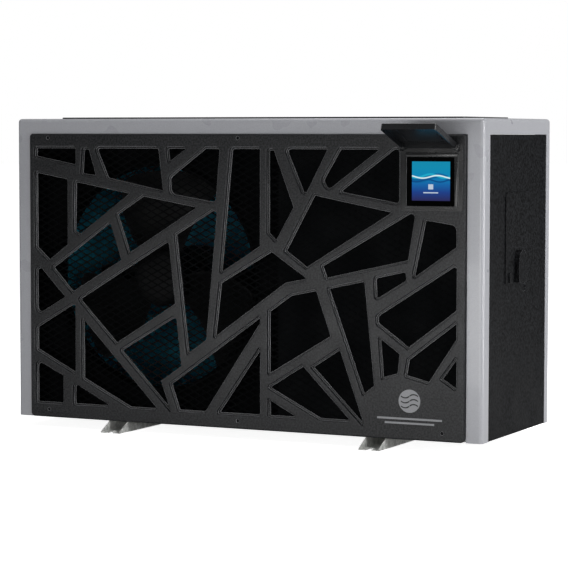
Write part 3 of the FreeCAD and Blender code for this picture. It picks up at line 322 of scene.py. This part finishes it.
@dataclass
class Piece:
    """One visible piece under construction.

    Attributes:
        name: Name of the finished object.
        body: Body that it rides on.
        finish: Surface of its first material slot.
        slot: Material slot of the record; not used.
        stands_for: CAD nodes that it replaces.
        mesh: Shape so far.
    """

    name: str
    body: Body
    finish: Finish
    slot: str
    stands_for: tuple[str, ...] = ()
    mesh: bmesh.types.BMesh = field(default_factory=bmesh.new)

    def block(self, low: Vector, high: Vector, bevel: float = 0.0, segments: int = 2) -> None:
        """Add a box between two corners, with its edges bevelled if bevel is set."""
        made = bmesh.ops.create_cube(self.mesh, size=1.0)["verts"]
        bmesh.ops.scale(self.mesh, vec=high - low, verts=made)
        bmesh.ops.translate(self.mesh, vec=(low + high) / 2, verts=made)
        if bevel:
            edges = list({e for v in made for e in v.link_edges})
            bmesh.ops.bevel(self.mesh, geom=edges, offset=bevel, segments=segments,
                            affect="EDGES", profile=0.5, material=-1)

    def round(self, centre: Vector, radius: float, length: float, axis: Axis,
              sides: int) -> None:
        """Add a cylinder that starts at centre and runs along axis."""
        made = bmesh.ops.create_cone(self.mesh, cap_ends=True, segments=sides,
                                     radius1=radius, radius2=radius, depth=length)["verts"]
        turn = Matrix.Translation(centre) @ AXIS_TURN[axis] @ Matrix.Translation(
            (0, 0, length / 2))
        bmesh.ops.transform(self.mesh, matrix=turn, verts=made)

    def lathe(self, centre: Vector, profile: Sequence[tuple[float, float]], axis: Axis,
              steps: int) -> None:
        """Spin a profile of (radius, height) points about the axis through centre."""
        before = set(self.mesh.verts)
        points = [self.mesh.verts.new((r, 0, h)) for r, h in profile]
        edges = [self.mesh.edges.new(pair) for pair in zip(points, points[1:])]
        bmesh.ops.spin(self.mesh, geom=points + edges, cent=(0, 0, 0), axis=(0, 0, 1),
                       angle=math.tau, steps=steps, use_merge=True, use_duplicate=False)
        made = [v for v in self.mesh.verts if v not in before]
        bmesh.ops.remove_doubles(self.mesh, verts=made, dist=WELD)
        made = [v for v in self.mesh.verts if v not in before]
        bmesh.ops.transform(self.mesh, verts=made,
                            matrix=Matrix.Translation(centre) @ AXIS_TURN[axis])
        faces = list({f for v in made for f in v.link_faces})
        bmesh.ops.recalc_face_normals(self.mesh, faces=faces)

    def done(self, smooth: float) -> None:
        """Turn the bmesh into an object that rides on its body.

        Args:
            smooth: Angle in degrees under which neighbouring faces shade as one.
        """
        data = bpy.data.meshes.new(self.name)
        self.mesh.normal_update()
        self.mesh.to_mesh(data)
        self.mesh.free()
        made = bpy.data.objects.new(self.name, data)
        bpy.context.scene.collection.objects.link(made)
        data.materials.append(self.finish.material())
        data.shade_smooth()
        data.set_sharp_from_angle(angle=math.radians(smooth))
        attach(made, self.body.value)
        if self.stands_for:
            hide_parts(*self.stands_for)
        LOG.info("%s: %d faces", self.name, len(data.polygons))


@dataclass
class ExpandedMesh:
    """Expanded steel mesh behind the front panel.

    Attributes:
        long_way: Width of a diamond.
        short_way: Height of a diamond.
        strand: Width of a strand.
        thick: Thickness of the sheet that it was cut from.
        lean: How far a strand leans, as a share of the thickness.
        border: Width of the plain rim.
    """

    long_way: float = 25.6 * MM
    short_way: float = 13.3 * MM
    strand: float = 2.3 * MM
    thick: float = 1.0 * MM
    lean: float = 0.35
    border: float = 6 * MM

    def build(self) -> None:
        """Weave the strands between the knuckles of a diamond grid."""
        low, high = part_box("protective_mesh")
        notch_low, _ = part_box("display_bezel")
        piece = Piece("expanded_mesh", Body.CASING, MESH_BLACK, "mesh_black",
                      ("protective_mesh",))
        columns = int((high.x - low.x) / (self.long_way / 2))
        rows = int((high.z - low.z) / (self.short_way / 2))
        step_x = (high.x - low.x) / columns
        step_z = (high.z - low.z) / rows
        middle = (low.y + high.y) / 2
        for i in range(columns):
            for j in range(rows + 1):
                if (i + j) % 2:
                    continue
                start = Vector((low.x + i * step_x, middle, low.z + j * step_z))
                for way in (-1, 1):
                    if not 0 <= j + way <= rows:
                        continue
                    end = start + Vector((step_x, 0, way * step_z))
                    if max(start.x, end.x) > notch_low.x and max(start.z, end.z) > notch_low.z:
                        continue
                    self.strand_between(piece.mesh, start, end)
        border = self.border
        for lo, hi in ((low, Vector((low.x + border, high.y, high.z))),
                       (Vector((high.x - border, low.y, low.z)), high),
                       (low, Vector((high.x, high.y, low.z + border))),
                       (Vector((low.x, low.y, high.z - border)), high)):
            piece.block(lo, hi)
        piece.done(30)

    def strand_between(self, mesh: bmesh.types.BMesh, start: Vector, end: Vector) -> None:
        """Add one flat strand."""
        run = end - start
        side = Vector((-run.z, 0, run.x)).normalized() * self.strand / 2
        deep = Vector((0, self.thick / 2, 0))
        tilt = Vector((0, self.thick * self.lean, 0))
        rims = []
        for point, lean in ((start, tilt), (end, -tilt)):
            corners = (point - side - deep + lean, point + side - deep - lean,
                       point + side + deep - lean, point - side + deep + lean)
            rims.append([mesh.verts.new(c) for c in corners])
        for k in range(4):
            mesh.faces.new((rims[0][k], rims[0][(k + 1) % 4], rims[1][(k + 1) % 4],
                            rims[1][k]))
        mesh.faces.new(rims[0][::-1])
        mesh.faces.new(rims[1])


@dataclass
class FinPack:
    """Fins and tubes of the evaporator, along the rear and the left wall.

    Attributes:
        pitch: Distance from fin to fin.
        fin: Thickness of a fin.
        thick: Depth of the pack.
        tube: Radius of a tube.
        tube_step: Height from one pair of tubes to the next.
        first: Height of the lowest pair, as a share of the step.
        stagger: Shift of each tube of a pair, as a share of the pack's depth.
        sides: Faces round a tube.
        end_gap: Gap between a tube's free end and the end of the pack.
        rear_start: Where the rear tubes start, from the left.
        side_stop: Where the left tubes stop, from the rear.
    """

    pitch: float = 2.4 * MM
    fin: float = 0.4 * MM
    thick: float = 32 * MM
    tube: float = 4.8 * MM
    tube_step: float = 27 * MM
    first: float = 0.6
    stagger: float = 0.25
    sides: int = 12
    end_gap: float = 1 * MM
    rear_start: float = 20 * MM
    side_stop: float = 29 * MM

    def build(self) -> None:
        """Build the fins and the tubes that run through them."""
        low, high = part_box("evaporator_coil")
        fins = Piece("evaporator_fins", Body.CASING, FIN_COAT, "fin_blue",
                     ("evaporator_coil",))
        turn_y = high.y - self.thick
        for i in range(int((high.x - low.x) / self.pitch)):
            x = low.x + i * self.pitch
            fins.block(Vector((x, turn_y, low.z)), Vector((x + self.fin, high.y, high.z)))
        for i in range(int((turn_y - low.y) / self.pitch)):
            y = low.y + i * self.pitch
            fins.block(Vector((low.x, y, low.z)),
                       Vector((low.x + self.thick, y + self.fin, high.z)))
        tubes = Piece("evaporator_tubes", Body.CASING, COPPER, "copper")
        rear_run = high.x - low.x - self.rear_start - self.end_gap
        side_run = high.y - low.y - self.side_stop - self.end_gap
        for i in range(int((high.z - low.z) / self.tube_step)):
            z = low.z + (i + self.first) * self.tube_step
            for shift in (-self.stagger, self.stagger):
                lift = z + shift * self.tube_step / 2
                deep = self.thick * (0.5 + shift)
                rear = Vector((low.x + self.rear_start, turn_y + deep, lift))
                tubes.round(rear, self.tube, rear_run, Axis.X, self.sides)
                side = Vector((low.x + deep, low.y + self.end_gap, lift))
                tubes.round(side, self.tube, side_run, Axis.Y, self.sides)
        fins.done(20)
        tubes.done(60)


@dataclass
class FanWheel:
    """Moulded axial fan with sickle blades and a domed hub.

    Attributes:
        axle: Place of the shaft across and above the casing's frame, in millimetres.
        hub: Radius of the hub.
        wall: Thickness of the hub's wall.
        thick: Thickness of a blade.
        blades: Number of blades.
        ribs: Number of ribs inside the hub.
        grid: Faces along and across a blade.
        dome: Outer line of the hub as shares of its radius and depths in millimetres.
        stations: Radius, chord, pitch in degrees and sweep from root to tip.
    """

    axle: tuple[float, float] = (-203, 295.5)
    hub: float = 56 * MM
    wall: float = 3 * MM
    thick: float = 2.6 * MM
    blades: int = 3
    ribs: int = 12
    grid: tuple[int, int] = (18, 20)
    dome: tuple[tuple[float, float], ...] = (
        (0, 1.5), (0.55, 1.7), (0.8, 3), (0.93, 6), (0.99, 11), (1, 18))
    stations: tuple[tuple[float, float, float, float], ...] = (
        (50, 70, 38, -4), (95, 122, 31, -12), (150, 170, 24, -8), (205, 208, 20, 14))

    def build(self) -> None:
        """Build the hub, its ribs and the blades."""
        low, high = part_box("fan_rotor")
        across, above = self.axle
        centre = at(across, 0, above)
        centre.y = low.y
        deep = high.y - low.y
        piece = Piece("fan_wheel", Body.FAN, FAN_NYLON, "fan_grey", ("fan_rotor",))
        piece.lathe(centre, self.hub_profile(deep), Axis.Y, 72)
        for number in range(self.ribs):
            self.rib(piece.mesh, centre, math.tau * number / self.ribs, deep)
        middle = centre + Vector((0, deep / 2, 0))
        for number in range(self.blades):
            self.blade(piece.mesh, middle, math.tau * number / self.blades)
        bmesh.ops.recalc_face_normals(piece.mesh, faces=piece.mesh.faces)
        piece.done(45)

    def hub_profile(self, deep: float) -> list[tuple[float, float]]:
        """Outer and inner line of the cup-shaped hub."""
        r, inner = self.hub, self.hub - self.wall
        outside = [(r * share, depth * MM) for share, depth in self.dome]
        return outside + [(r, deep), (inner, deep), (inner, 12 * MM), (r * 0.8, 8 * MM),
                          (0, 6 * MM)]

    def rib(self, mesh: bmesh.types.BMesh, centre: Vector, angle: float, deep: float) -> None:
        """Add one stiffening rib inside the hub."""
        made = bmesh.ops.create_cube(mesh, size=1.0)["verts"]
        bmesh.ops.scale(mesh, vec=(self.hub * 0.7, deep - 9 * MM, 2 * MM), verts=made)
        shape = Matrix.Translation(centre) @ Matrix.Rotation(angle, 4, "Y")
        slide = Matrix.Translation((self.hub * 0.62, (deep + 7 * MM) / 2, 0))
        bmesh.ops.transform(mesh, matrix=shape @ slide, verts=made)

    def blade(self, mesh: bmesh.types.BMesh, centre: Vector, angle: float) -> None:
        """Add one blade, swept and twisted along its length."""
        rows, columns = self.grid
        made = bmesh.ops.create_grid(mesh, x_segments=columns, y_segments=rows,
                                     size=0.5)["verts"]
        turn = Matrix.Rotation(angle, 4, "Y")
        for vert in made:
            across, out = vert.co.x, vert.co.y + 0.5
            radius, chord, pitch, sweep = self.station(out)
            narrow = math.sqrt(max(0.0, 1 - max(0.0, (out - 0.9) / 0.1) ** 2 * 0.35))
            along = across * chord * narrow
            belly = 0.06 * chord * (1 - (2 * across) ** 2)
            tangent = along * math.cos(pitch) + sweep
            axial = along * math.sin(pitch) + belly
            turned = tangent / radius
            vert.co = centre + turn @ Vector((radius * math.sin(turned), axial * 0.78,
                                              radius * math.cos(turned)))
        faces = list({f for v in made for f in v.link_faces})
        bmesh.ops.solidify(mesh, geom=faces, thickness=self.thick)

    def station(self, out: float) -> tuple[float, float, float, float]:
        """Radius, chord, pitch and sweep at a share of the blade's length, in metres."""
        place = min(out, 0.9999) * (len(self.stations) - 1)
        first = int(place)
        share = place - first
        share = share * share * (3 - 2 * share) * 0.5 + share * 0.5
        near, far = self.stations[first], self.stations[first + 1]
        radius, chord, pitch, sweep = (a + (b - a) * share for a, b in zip(near, far))
        return radius * MM, chord * MM, math.radians(pitch), sweep * MM


Area = tuple[float, float, float, float]


@dataclass(frozen=True)
class Wave:
    """One soft wave line of the picture, which runs from -1 to 1 both ways.

    Attributes:
        tone: sRGB colour.
        level: Height of its middle.
        rate: How fast it swings across the picture, in radians.
        phase: Where the swing starts, in radians.
        swing: How far it goes up and down.
        width: Distance from its middle to the end of its soft edge.
    """

    tone: str
    level: float
    rate: float
    phase: float
    swing: float
    width: float


SKY_ENDS = ("2b2a55", "1488ab")
SKY_STOPS = ((0.22, "1f3f86"), (0.42, "1763a5"), (0.62, "0f83b4"), (0.85, "128aae"))
WAVES = (Wave("0b5f96", 0.16, 3.1, 0.4, 0.12, 0.16),
         Wave("1ea6c4", 0.26, 4.2, 1.7, 0.09, 0.07),
         Wave("d9eef0", 0.22, 4.0, 0.2, 0.07, 0.045),
         Wave("0f4c86", 0.02, 5.0, 2.4, 0.06, 0.05))
# Left, right, base and top of the plain marks and of the whole picture.
MARKS: tuple[Area, ...] = ((-0.14, 0.12, -0.42, -0.16), (-0.4, 0.38, -0.62, -0.56))
MARK_TONE = "b9c6d6"
WHOLE: Area = (-1.0, 1.0, -1.0, 1.0)


@dataclass
class TouchScreen:
    """Touch glass of the display with a plain water picture that glows.

    Attributes:
        half_width: Half the picture's width.
        half_height: Half the picture's height.
        lift: How far the picture's middle is above the glass's.
    """

    half_width: float = 36.6 * MM
    half_height: float = 35 * MM
    lift: float = 0.7 * MM

    def build(self, glass: bpy.types.Object) -> None:
        """Give the glass its picture."""
        low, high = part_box("display_glass")
        glass.data.materials.clear()
        glass.data.materials.append(self.material((low + high) / 2))

    def material(self, centre: Vector) -> bpy.types.Material:
        """Black border round a picture of layered waves above two plain marks."""
        made = bpy.data.materials.new("touch_glass_picture")
        made.use_nodes = True
        tree = made.node_tree
        tree.nodes.clear()
        place = add_node(tree, "ShaderNodeTexCoord")
        middle = (centre.x, 0, centre.z + self.lift)
        local = add_node(tree, "ShaderNodeMapping", {"Vector": place.outputs["Object"]},
                         vector_type="TEXTURE",
                         inputs={"Location": middle,
                                 "Scale": (self.half_width, 1.0, self.half_height)})
        axes = add_node(tree, "ShaderNodeSeparateXYZ", {0: local.outputs[0]})
        x, z = axes.outputs["X"], axes.outputs["Z"]
        height = add_node(tree, "ShaderNodeMapRange", {"Value": z},
                          inputs={"From Min": -1.0, "From Max": 1.0})
        sky = add_node(tree, "ShaderNodeValToRGB", {"Fac": height.outputs[0]})
        ramp = sky.color_ramp
        for element, tone in zip(ramp.elements, SKY_ENDS):
            element.color = linear(tone)
        for spot, tone in SKY_STOPS:
            ramp.elements.new(spot).color = linear(tone)
        layers = [(self.wave(tree, x, z, wave), wave.tone) for wave in WAVES]
        layers += [(self.patch(tree, x, z, area), MARK_TONE) for area in MARKS]
        colour = sky.outputs["Color"]
        for mask, tone in layers:
            mix = add_node(tree, "ShaderNodeMixRGB", {"Fac": mask, "Color1": colour},
                           inputs={"Color2": linear(tone)})
            colour = mix.outputs[0]
        shown = self.patch(tree, x, z, WHOLE)
        glow = add_node(tree, "ShaderNodeMixRGB", {"Fac": shown, "Color2": colour},
                        inputs={"Color1": (0, 0, 0, 1)})
        dust = add_node(tree, "ShaderNodeTexNoise", {"Vector": place.outputs["Object"]},
                        inputs={"Scale": 1 / (14 * MM), "Detail": 3.0})
        sheen = add_node(tree, "ShaderNodeMapRange", {"Value": dust.outputs["Fac"]},
                         inputs={"To Min": 0.04, "To Max": 0.12})
        shader = add_node(tree, "ShaderNodeBsdfPrincipled",
                          {"Emission Color": glow.outputs[0], "Roughness": sheen.outputs[0]},
                          inputs={"Base Color": linear("010101"), "Emission Strength": 1.0,
                                  "IOR": 1.5, "Specular IOR Level": 0.1})
        add_node(tree, "ShaderNodeOutputMaterial", {"Surface": shader.outputs[0]})
        return made

    def wave(self, tree: bpy.types.NodeTree, x: bpy.types.NodeSocket,
             z: bpy.types.NodeSocket, line: Wave) -> bpy.types.NodeSocket:
        """Mask of one soft wave line across the picture."""
        run = add_node(tree, "ShaderNodeMath", {0: x}, operation="MULTIPLY_ADD",
                       inputs={1: line.rate, 2: line.phase})
        sine = add_node(tree, "ShaderNodeMath", {0: run.outputs[0]}, operation="SINE")
        crest = add_node(tree, "ShaderNodeMath", {0: sine.outputs[0]},
                         operation="MULTIPLY_ADD", inputs={1: line.swing, 2: line.level})
        gap = add_node(tree, "ShaderNodeMath", {0: z, 1: crest.outputs[0]},
                       operation="SUBTRACT")
        far = add_node(tree, "ShaderNodeMath", {0: gap.outputs[0]}, operation="ABSOLUTE")
        mask = add_node(tree, "ShaderNodeMapRange", {"Value": far.outputs[0]},
                        inputs={"From Min": line.width * 0.5, "From Max": line.width,
                                "To Min": 1.0, "To Max": 0.0})
        return mask.outputs[0]

    def patch(self, tree: bpy.types.NodeTree, x: bpy.types.NodeSocket,
              z: bpy.types.NodeSocket, area: Area) -> bpy.types.NodeSocket:
        """Mask of one upright rectangle of the picture."""
        left, right, base, top = area
        tests = []
        for socket, low, high in ((x, left, right), (z, base, top)):
            off = add_node(tree, "ShaderNodeMath", {0: socket}, operation="SUBTRACT",
                           inputs={1: (low + high) / 2})
            far = add_node(tree, "ShaderNodeMath", {0: off.outputs[0]}, operation="ABSOLUTE")
            tests.append(add_node(tree, "ShaderNodeMath", {0: far.outputs[0]},
                                  operation="LESS_THAN", inputs={1: (high - low) / 2}))
        both = add_node(tree, "ShaderNodeMath",
                        {0: tests[0].outputs[0], 1: tests[1].outputs[0]},
                        operation="MULTIPLY")
        return both.outputs[0]


@dataclass
class FlapLiner:
    """Moulded relief inside the display's flap: a raised border and fine ribs.

    Every size is in millimetres.

    Attributes:
        hinge: Middle of the hinge in the casing's frame.
        width: Width of the flap.
        length: Length of the flap.
        depth: Depth of the flap's tray.
        sheet: Thickness of its walls.
        drop: From the hinge down to the flap's upper edge.
        set_back: From the hinge back to the tray's rim.
        border: Width of the raised border.
        gap: Gap between the side borders and the lower one.
        slack: Gap between the border and the tray's walls.
        side_top: From the tray's upper end down to the side borders.
        foot: Height of the lower border.
        side_rise: Rise of the side borders.
        foot_rise: Rise of the lower border.
        ribs: Number of ribs.
        rib_start: From the tray's left wall to the first rib.
        rib_step: Distance from rib to rib.
        rib_width: Width of a rib.
        rib_ends: From the tray's upper end down to the ribs' lower and upper ends.
        rib_rise: Rise of the ribs.
        root: How far a pad is sunk into the sheet.
        edge: Bevel of a pad's edges.
        angle: Opening angle in degrees.
    """

    hinge: tuple[float, float, float] = (384.5, -12.6, 546)
    width: float = 104.5
    length: float = 102
    depth: float = 11.4
    sheet: float = 2
    drop: float = 1.5
    set_back: float = 1
    border: float = 16
    gap: float = 1
    slack: float = 0.1
    side_top: float = 12
    foot: float = 9
    side_rise: float = 1.4
    foot_rise: float = 1.0
    ribs: int = 22
    rib_start: float = 7
    rib_step: float = 4.1
    rib_width: float = 1.8
    rib_ends: tuple[float, float] = (11, 2)
    rib_rise: float = 1.1
    root: float = 0.3
    edge: float = 0.4
    angle: float = 109

    def build(self) -> None:
        """Build the liner shut and turn it to the open place."""
        piece = Piece("flap_liner", Body.FLAP, BLACK_ABS, "plastic_black")
        x, y, z = self.hinge
        face = y - self.depth + self.set_back + self.sheet
        low = z - self.drop - self.length + self.sheet
        high = z - self.drop - self.sheet
        half = self.width / 2 - self.sheet
        left, right = x - half, x + half
        base, top = low + self.slack, high - self.side_top
        self.plate(piece, left + self.slack, left + self.border, face, base, top,
                   self.side_rise)
        self.plate(piece, right - self.border, right - self.slack, face, base, top,
                   self.side_rise)
        self.plate(piece, left + self.border + self.gap, right - self.border - self.gap, face,
                   base, low + self.foot, self.foot_rise)
        for i in range(self.ribs):
            start = left + self.rib_start + i * self.rib_step
            self.plate(piece, start, start + self.rib_width, face, high - self.rib_ends[0],
                       high - self.rib_ends[1], self.rib_rise)
        hinge = at(*self.hinge)
        turn = (Matrix.Translation(hinge) @ Matrix.Rotation(math.radians(-self.angle), 4, "X")
                @ Matrix.Translation(-hinge))
        bmesh.ops.transform(piece.mesh, matrix=turn, verts=piece.mesh.verts)
        piece.done(30)

    def plate(self, piece: Piece, left: float, right: float, face: float, low: float,
              high: float, rise: float) -> None:
        """Add one raised pad on the flap's inner face."""
        piece.block(at(left, face - self.root, low), at(right, face + rise, high),
                    self.edge * MM)


@dataclass
class BezelCrown:
    """Polished roll along the top of the display's frame and down its right side.

    Attributes:
        face: Front of the frame in the casing's frame, in millimetres.
        past_left: How far the roll runs past the glass at the left.
        past_right: How far it runs past the glass at the right.
        top: Its lower and upper edge above the glass.
        side_width: Width of the side roll.
        side_top: Height of the side roll's end above the glass.
        rises: Rise of the top and the side roll.
        edges: Bevels of the top and the side roll.
        root: How far both are sunk into the frame.
    """

    face: float = -11
    past_left: float = 1.5 * MM
    past_right: float = 5.5 * MM
    top: tuple[float, float] = (1.2 * MM, 6.6 * MM)
    side_width: float = 4.2 * MM
    side_top: float = 2 * MM
    rises: tuple[float, float] = (0.4 * MM, 0.3 * MM)
    edges: tuple[float, float] = (0.35 * MM, 0.28 * MM)
    root: float = 1 * MM

    def build(self) -> None:
        """Build the top roll and the side roll."""
        low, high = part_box("display_glass")
        piece = Piece("bezel_crown", Body.CASING, GLOSS_ABS, "plastic_black")
        front = at(0, self.face, 0).y
        back = front + self.root
        left, right = low.x - self.past_left, high.x + self.past_right
        piece.block(Vector((left, front - self.rises[0], high.z + self.top[0])),
                    Vector((right, back, high.z + self.top[1])), self.edges[0], 3)
        piece.block(Vector((right - self.side_width, front - self.rises[1], low.z)),
                    Vector((right, back, high.z + self.side_top)), self.edges[1], 3)
        piece.done(50)


@dataclass(frozen=True)
class SoftBox:
    """Oblong area light that points at the unit.

    Attributes:
        name: What it is called.
        place: Where it stands.
        size: Width and height.
        power: Power in watts.
    """

    name: str
    place: tuple[float, float, float]
    size: tuple[float, float]
    power: float


SOFT_BOXES = (SoftBox("strip", (3.4, -0.7, 0.9), (0.3, 2.4), 68),
              SoftBox("overhead", (0.3, 0.3, 2.4), (2.6, 2.0), 46),
              SoftBox("front_fill", (-0.2, -4.6, 0.2), (1.2, 0.4), 22),
              SoftBox("bounce", (0.1, -1.2, 0.03), (2.2, 0.5), 11),
              SoftBox("side_bounce", (1.5, 0.6, 0.03), (0.6, 1.0), 12))


@dataclass
class Studio:
    """Floor, light and camera.

    Attributes:
        lens: Focal length in millimetres.
        sensor: Width of the camera's sensor in millimetres.
        place: Where the camera stands.
        azimuth: Its angle to the right of the front, in degrees.
        pitch: How far it looks down, in degrees.
        roll: How far it is tilted, in degrees.
        reach: How far the camera sees.
        floor_radius: Radius of the floor.
        room: Strength of the room's own light.
        backdrop: Strength of the room as the camera sees it.
        floor_glow: Glow of the floor as the camera sees it.
        target: Point that the soft boxes are aimed at.
    """

    lens: float = 143.106
    sensor: float = 36
    place: tuple[float, float, float] = (1.9002, -3.9067, 0.5677)
    azimuth: float = 25.8133
    pitch: float = 3.7599
    roll: float = 0.0682
    reach: float = 100
    floor_radius: float = 40
    room: float = 0.18
    backdrop: float = 1.0
    floor_glow: float = 0.9
    target: tuple[float, float, float] = (0, 0, 0.3)

    def build(self) -> None:
        """Set up the whole studio."""
        self.floor()
        self.lights()
        self.camera()

    def floor(self) -> None:
        """Plain floor that looks near white, and lights the unit as grey paper would."""
        data = bpy.data.meshes.new("studio_floor")
        mesh = bmesh.new()
        bmesh.ops.create_circle(mesh, cap_ends=True, segments=96,
                                radius=self.floor_radius)
        mesh.to_mesh(data)
        mesh.free()
        made = bpy.data.objects.new("studio_floor", data)
        bpy.context.scene.collection.objects.link(made)
        pale = bpy.data.materials.new("pale_floor")
        pale.use_nodes = True
        tree = pale.node_tree
        tree.nodes.clear()
        path = add_node(tree, "ShaderNodeLightPath")
        paper = add_node(tree, "ShaderNodeBsdfDiffuse", inputs={"Color": linear("b4b4b4")})
        white = add_node(tree, "ShaderNodeBsdfPrincipled",
                         inputs={"Base Color": linear("e8e8e8"), "Roughness": 1.0,
                                 "Specular IOR Level": 0.0, "Emission Color": (1, 1, 1, 1),
                                 "Emission Strength": self.floor_glow})
        mix = add_node(tree, "ShaderNodeMixShader",
                       {0: path.outputs["Is Camera Ray"], 1: paper.outputs[0],
                        2: white.outputs[0]})
        add_node(tree, "ShaderNodeOutputMaterial", {"Surface": mix.outputs[0]})
        data.materials.append(pale)

    def lights(self) -> None:
        """Soft boxes and the room's own light."""
        scene = bpy.context.scene
        scene.view_settings.view_transform = "Standard"
        world = bpy.data.worlds.new("studio_world")
        scene.world = world
        world.use_nodes = True
        tree = world.node_tree
        tree.nodes.clear()
        path = add_node(tree, "ShaderNodeLightPath")
        room = add_node(tree, "ShaderNodeBackground",
                        inputs={"Color": (1, 1, 1, 1), "Strength": self.room})
        seen = add_node(tree, "ShaderNodeBackground",
                        inputs={"Color": (1, 1, 1, 1), "Strength": self.backdrop})
        mix = add_node(tree, "ShaderNodeMixShader",
                       {0: path.outputs["Is Camera Ray"], 1: room.outputs[0],
                        2: seen.outputs[0]})
        add_node(tree, "ShaderNodeOutputWorld", {"Surface": mix.outputs[0]})
        for box in SOFT_BOXES:
            self.soft_box(box)

    def soft_box(self, box: SoftBox) -> None:
        """Add one soft box."""
        data = bpy.data.lights.new(box.name, "AREA")
        data.shape = "RECTANGLE"
        data.size, data.size_y = box.size
        data.energy = box.power
        made = bpy.data.objects.new(box.name, data)
        bpy.context.scene.collection.objects.link(made)
        made.location = box.place
        aim = Vector(self.target) - Vector(box.place)
        made.rotation_euler = aim.to_track_quat("-Z", "Y").to_euler()

    def camera(self) -> None:
        """Long lens from the right of the front, a little above the middle."""
        data = bpy.data.cameras.new("studio_camera")
        data.sensor_width = self.sensor
        data.lens = self.lens
        data.clip_end = self.reach
        made = bpy.data.objects.new("studio_camera", data)
        bpy.context.scene.collection.objects.link(made)
        az, pitch, roll = (math.radians(v) for v in (self.azimuth, self.pitch, self.roll))
        ahead = Vector((-math.sin(az) * math.cos(pitch), math.cos(az) * math.cos(pitch),
                        -math.sin(pitch)))
        right = ahead.cross(Vector((0, 0, 1))).normalized()
        up = right.cross(ahead)
        across = right * math.cos(roll) + up * math.sin(roll)
        above = up * math.cos(roll) - right * math.sin(roll)
        turn = Matrix((across, above, -ahead)).transposed()
        made.matrix_world = Matrix.Translation(self.place) @ turn.to_4x4()
        bpy.context.scene.camera = made


def dress(nodes: dict) -> None:
    """Give each CAD node its finish."""
    for name, obj in nodes.items():
        obj.data.materials.clear()
        obj.data.materials.append(NODE_FINISH[name].material())
        LOG.info("%s: %s", name, NODE_FINISH[name].name)


def main() -> None:
    """Build every piece in order."""
    logging.basicConfig(level=logging.INFO, format="%(message)s")
    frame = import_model()
    dress(frame["nodes"])
    ExpandedMesh().build()
    FinPack().build()
    FanWheel().build()
    FlapLiner().build()
    BezelCrown().build()
    TouchScreen().build(frame["nodes"]["display_glass"])
    Studio().build()


if __name__ == "__main__":
    main()
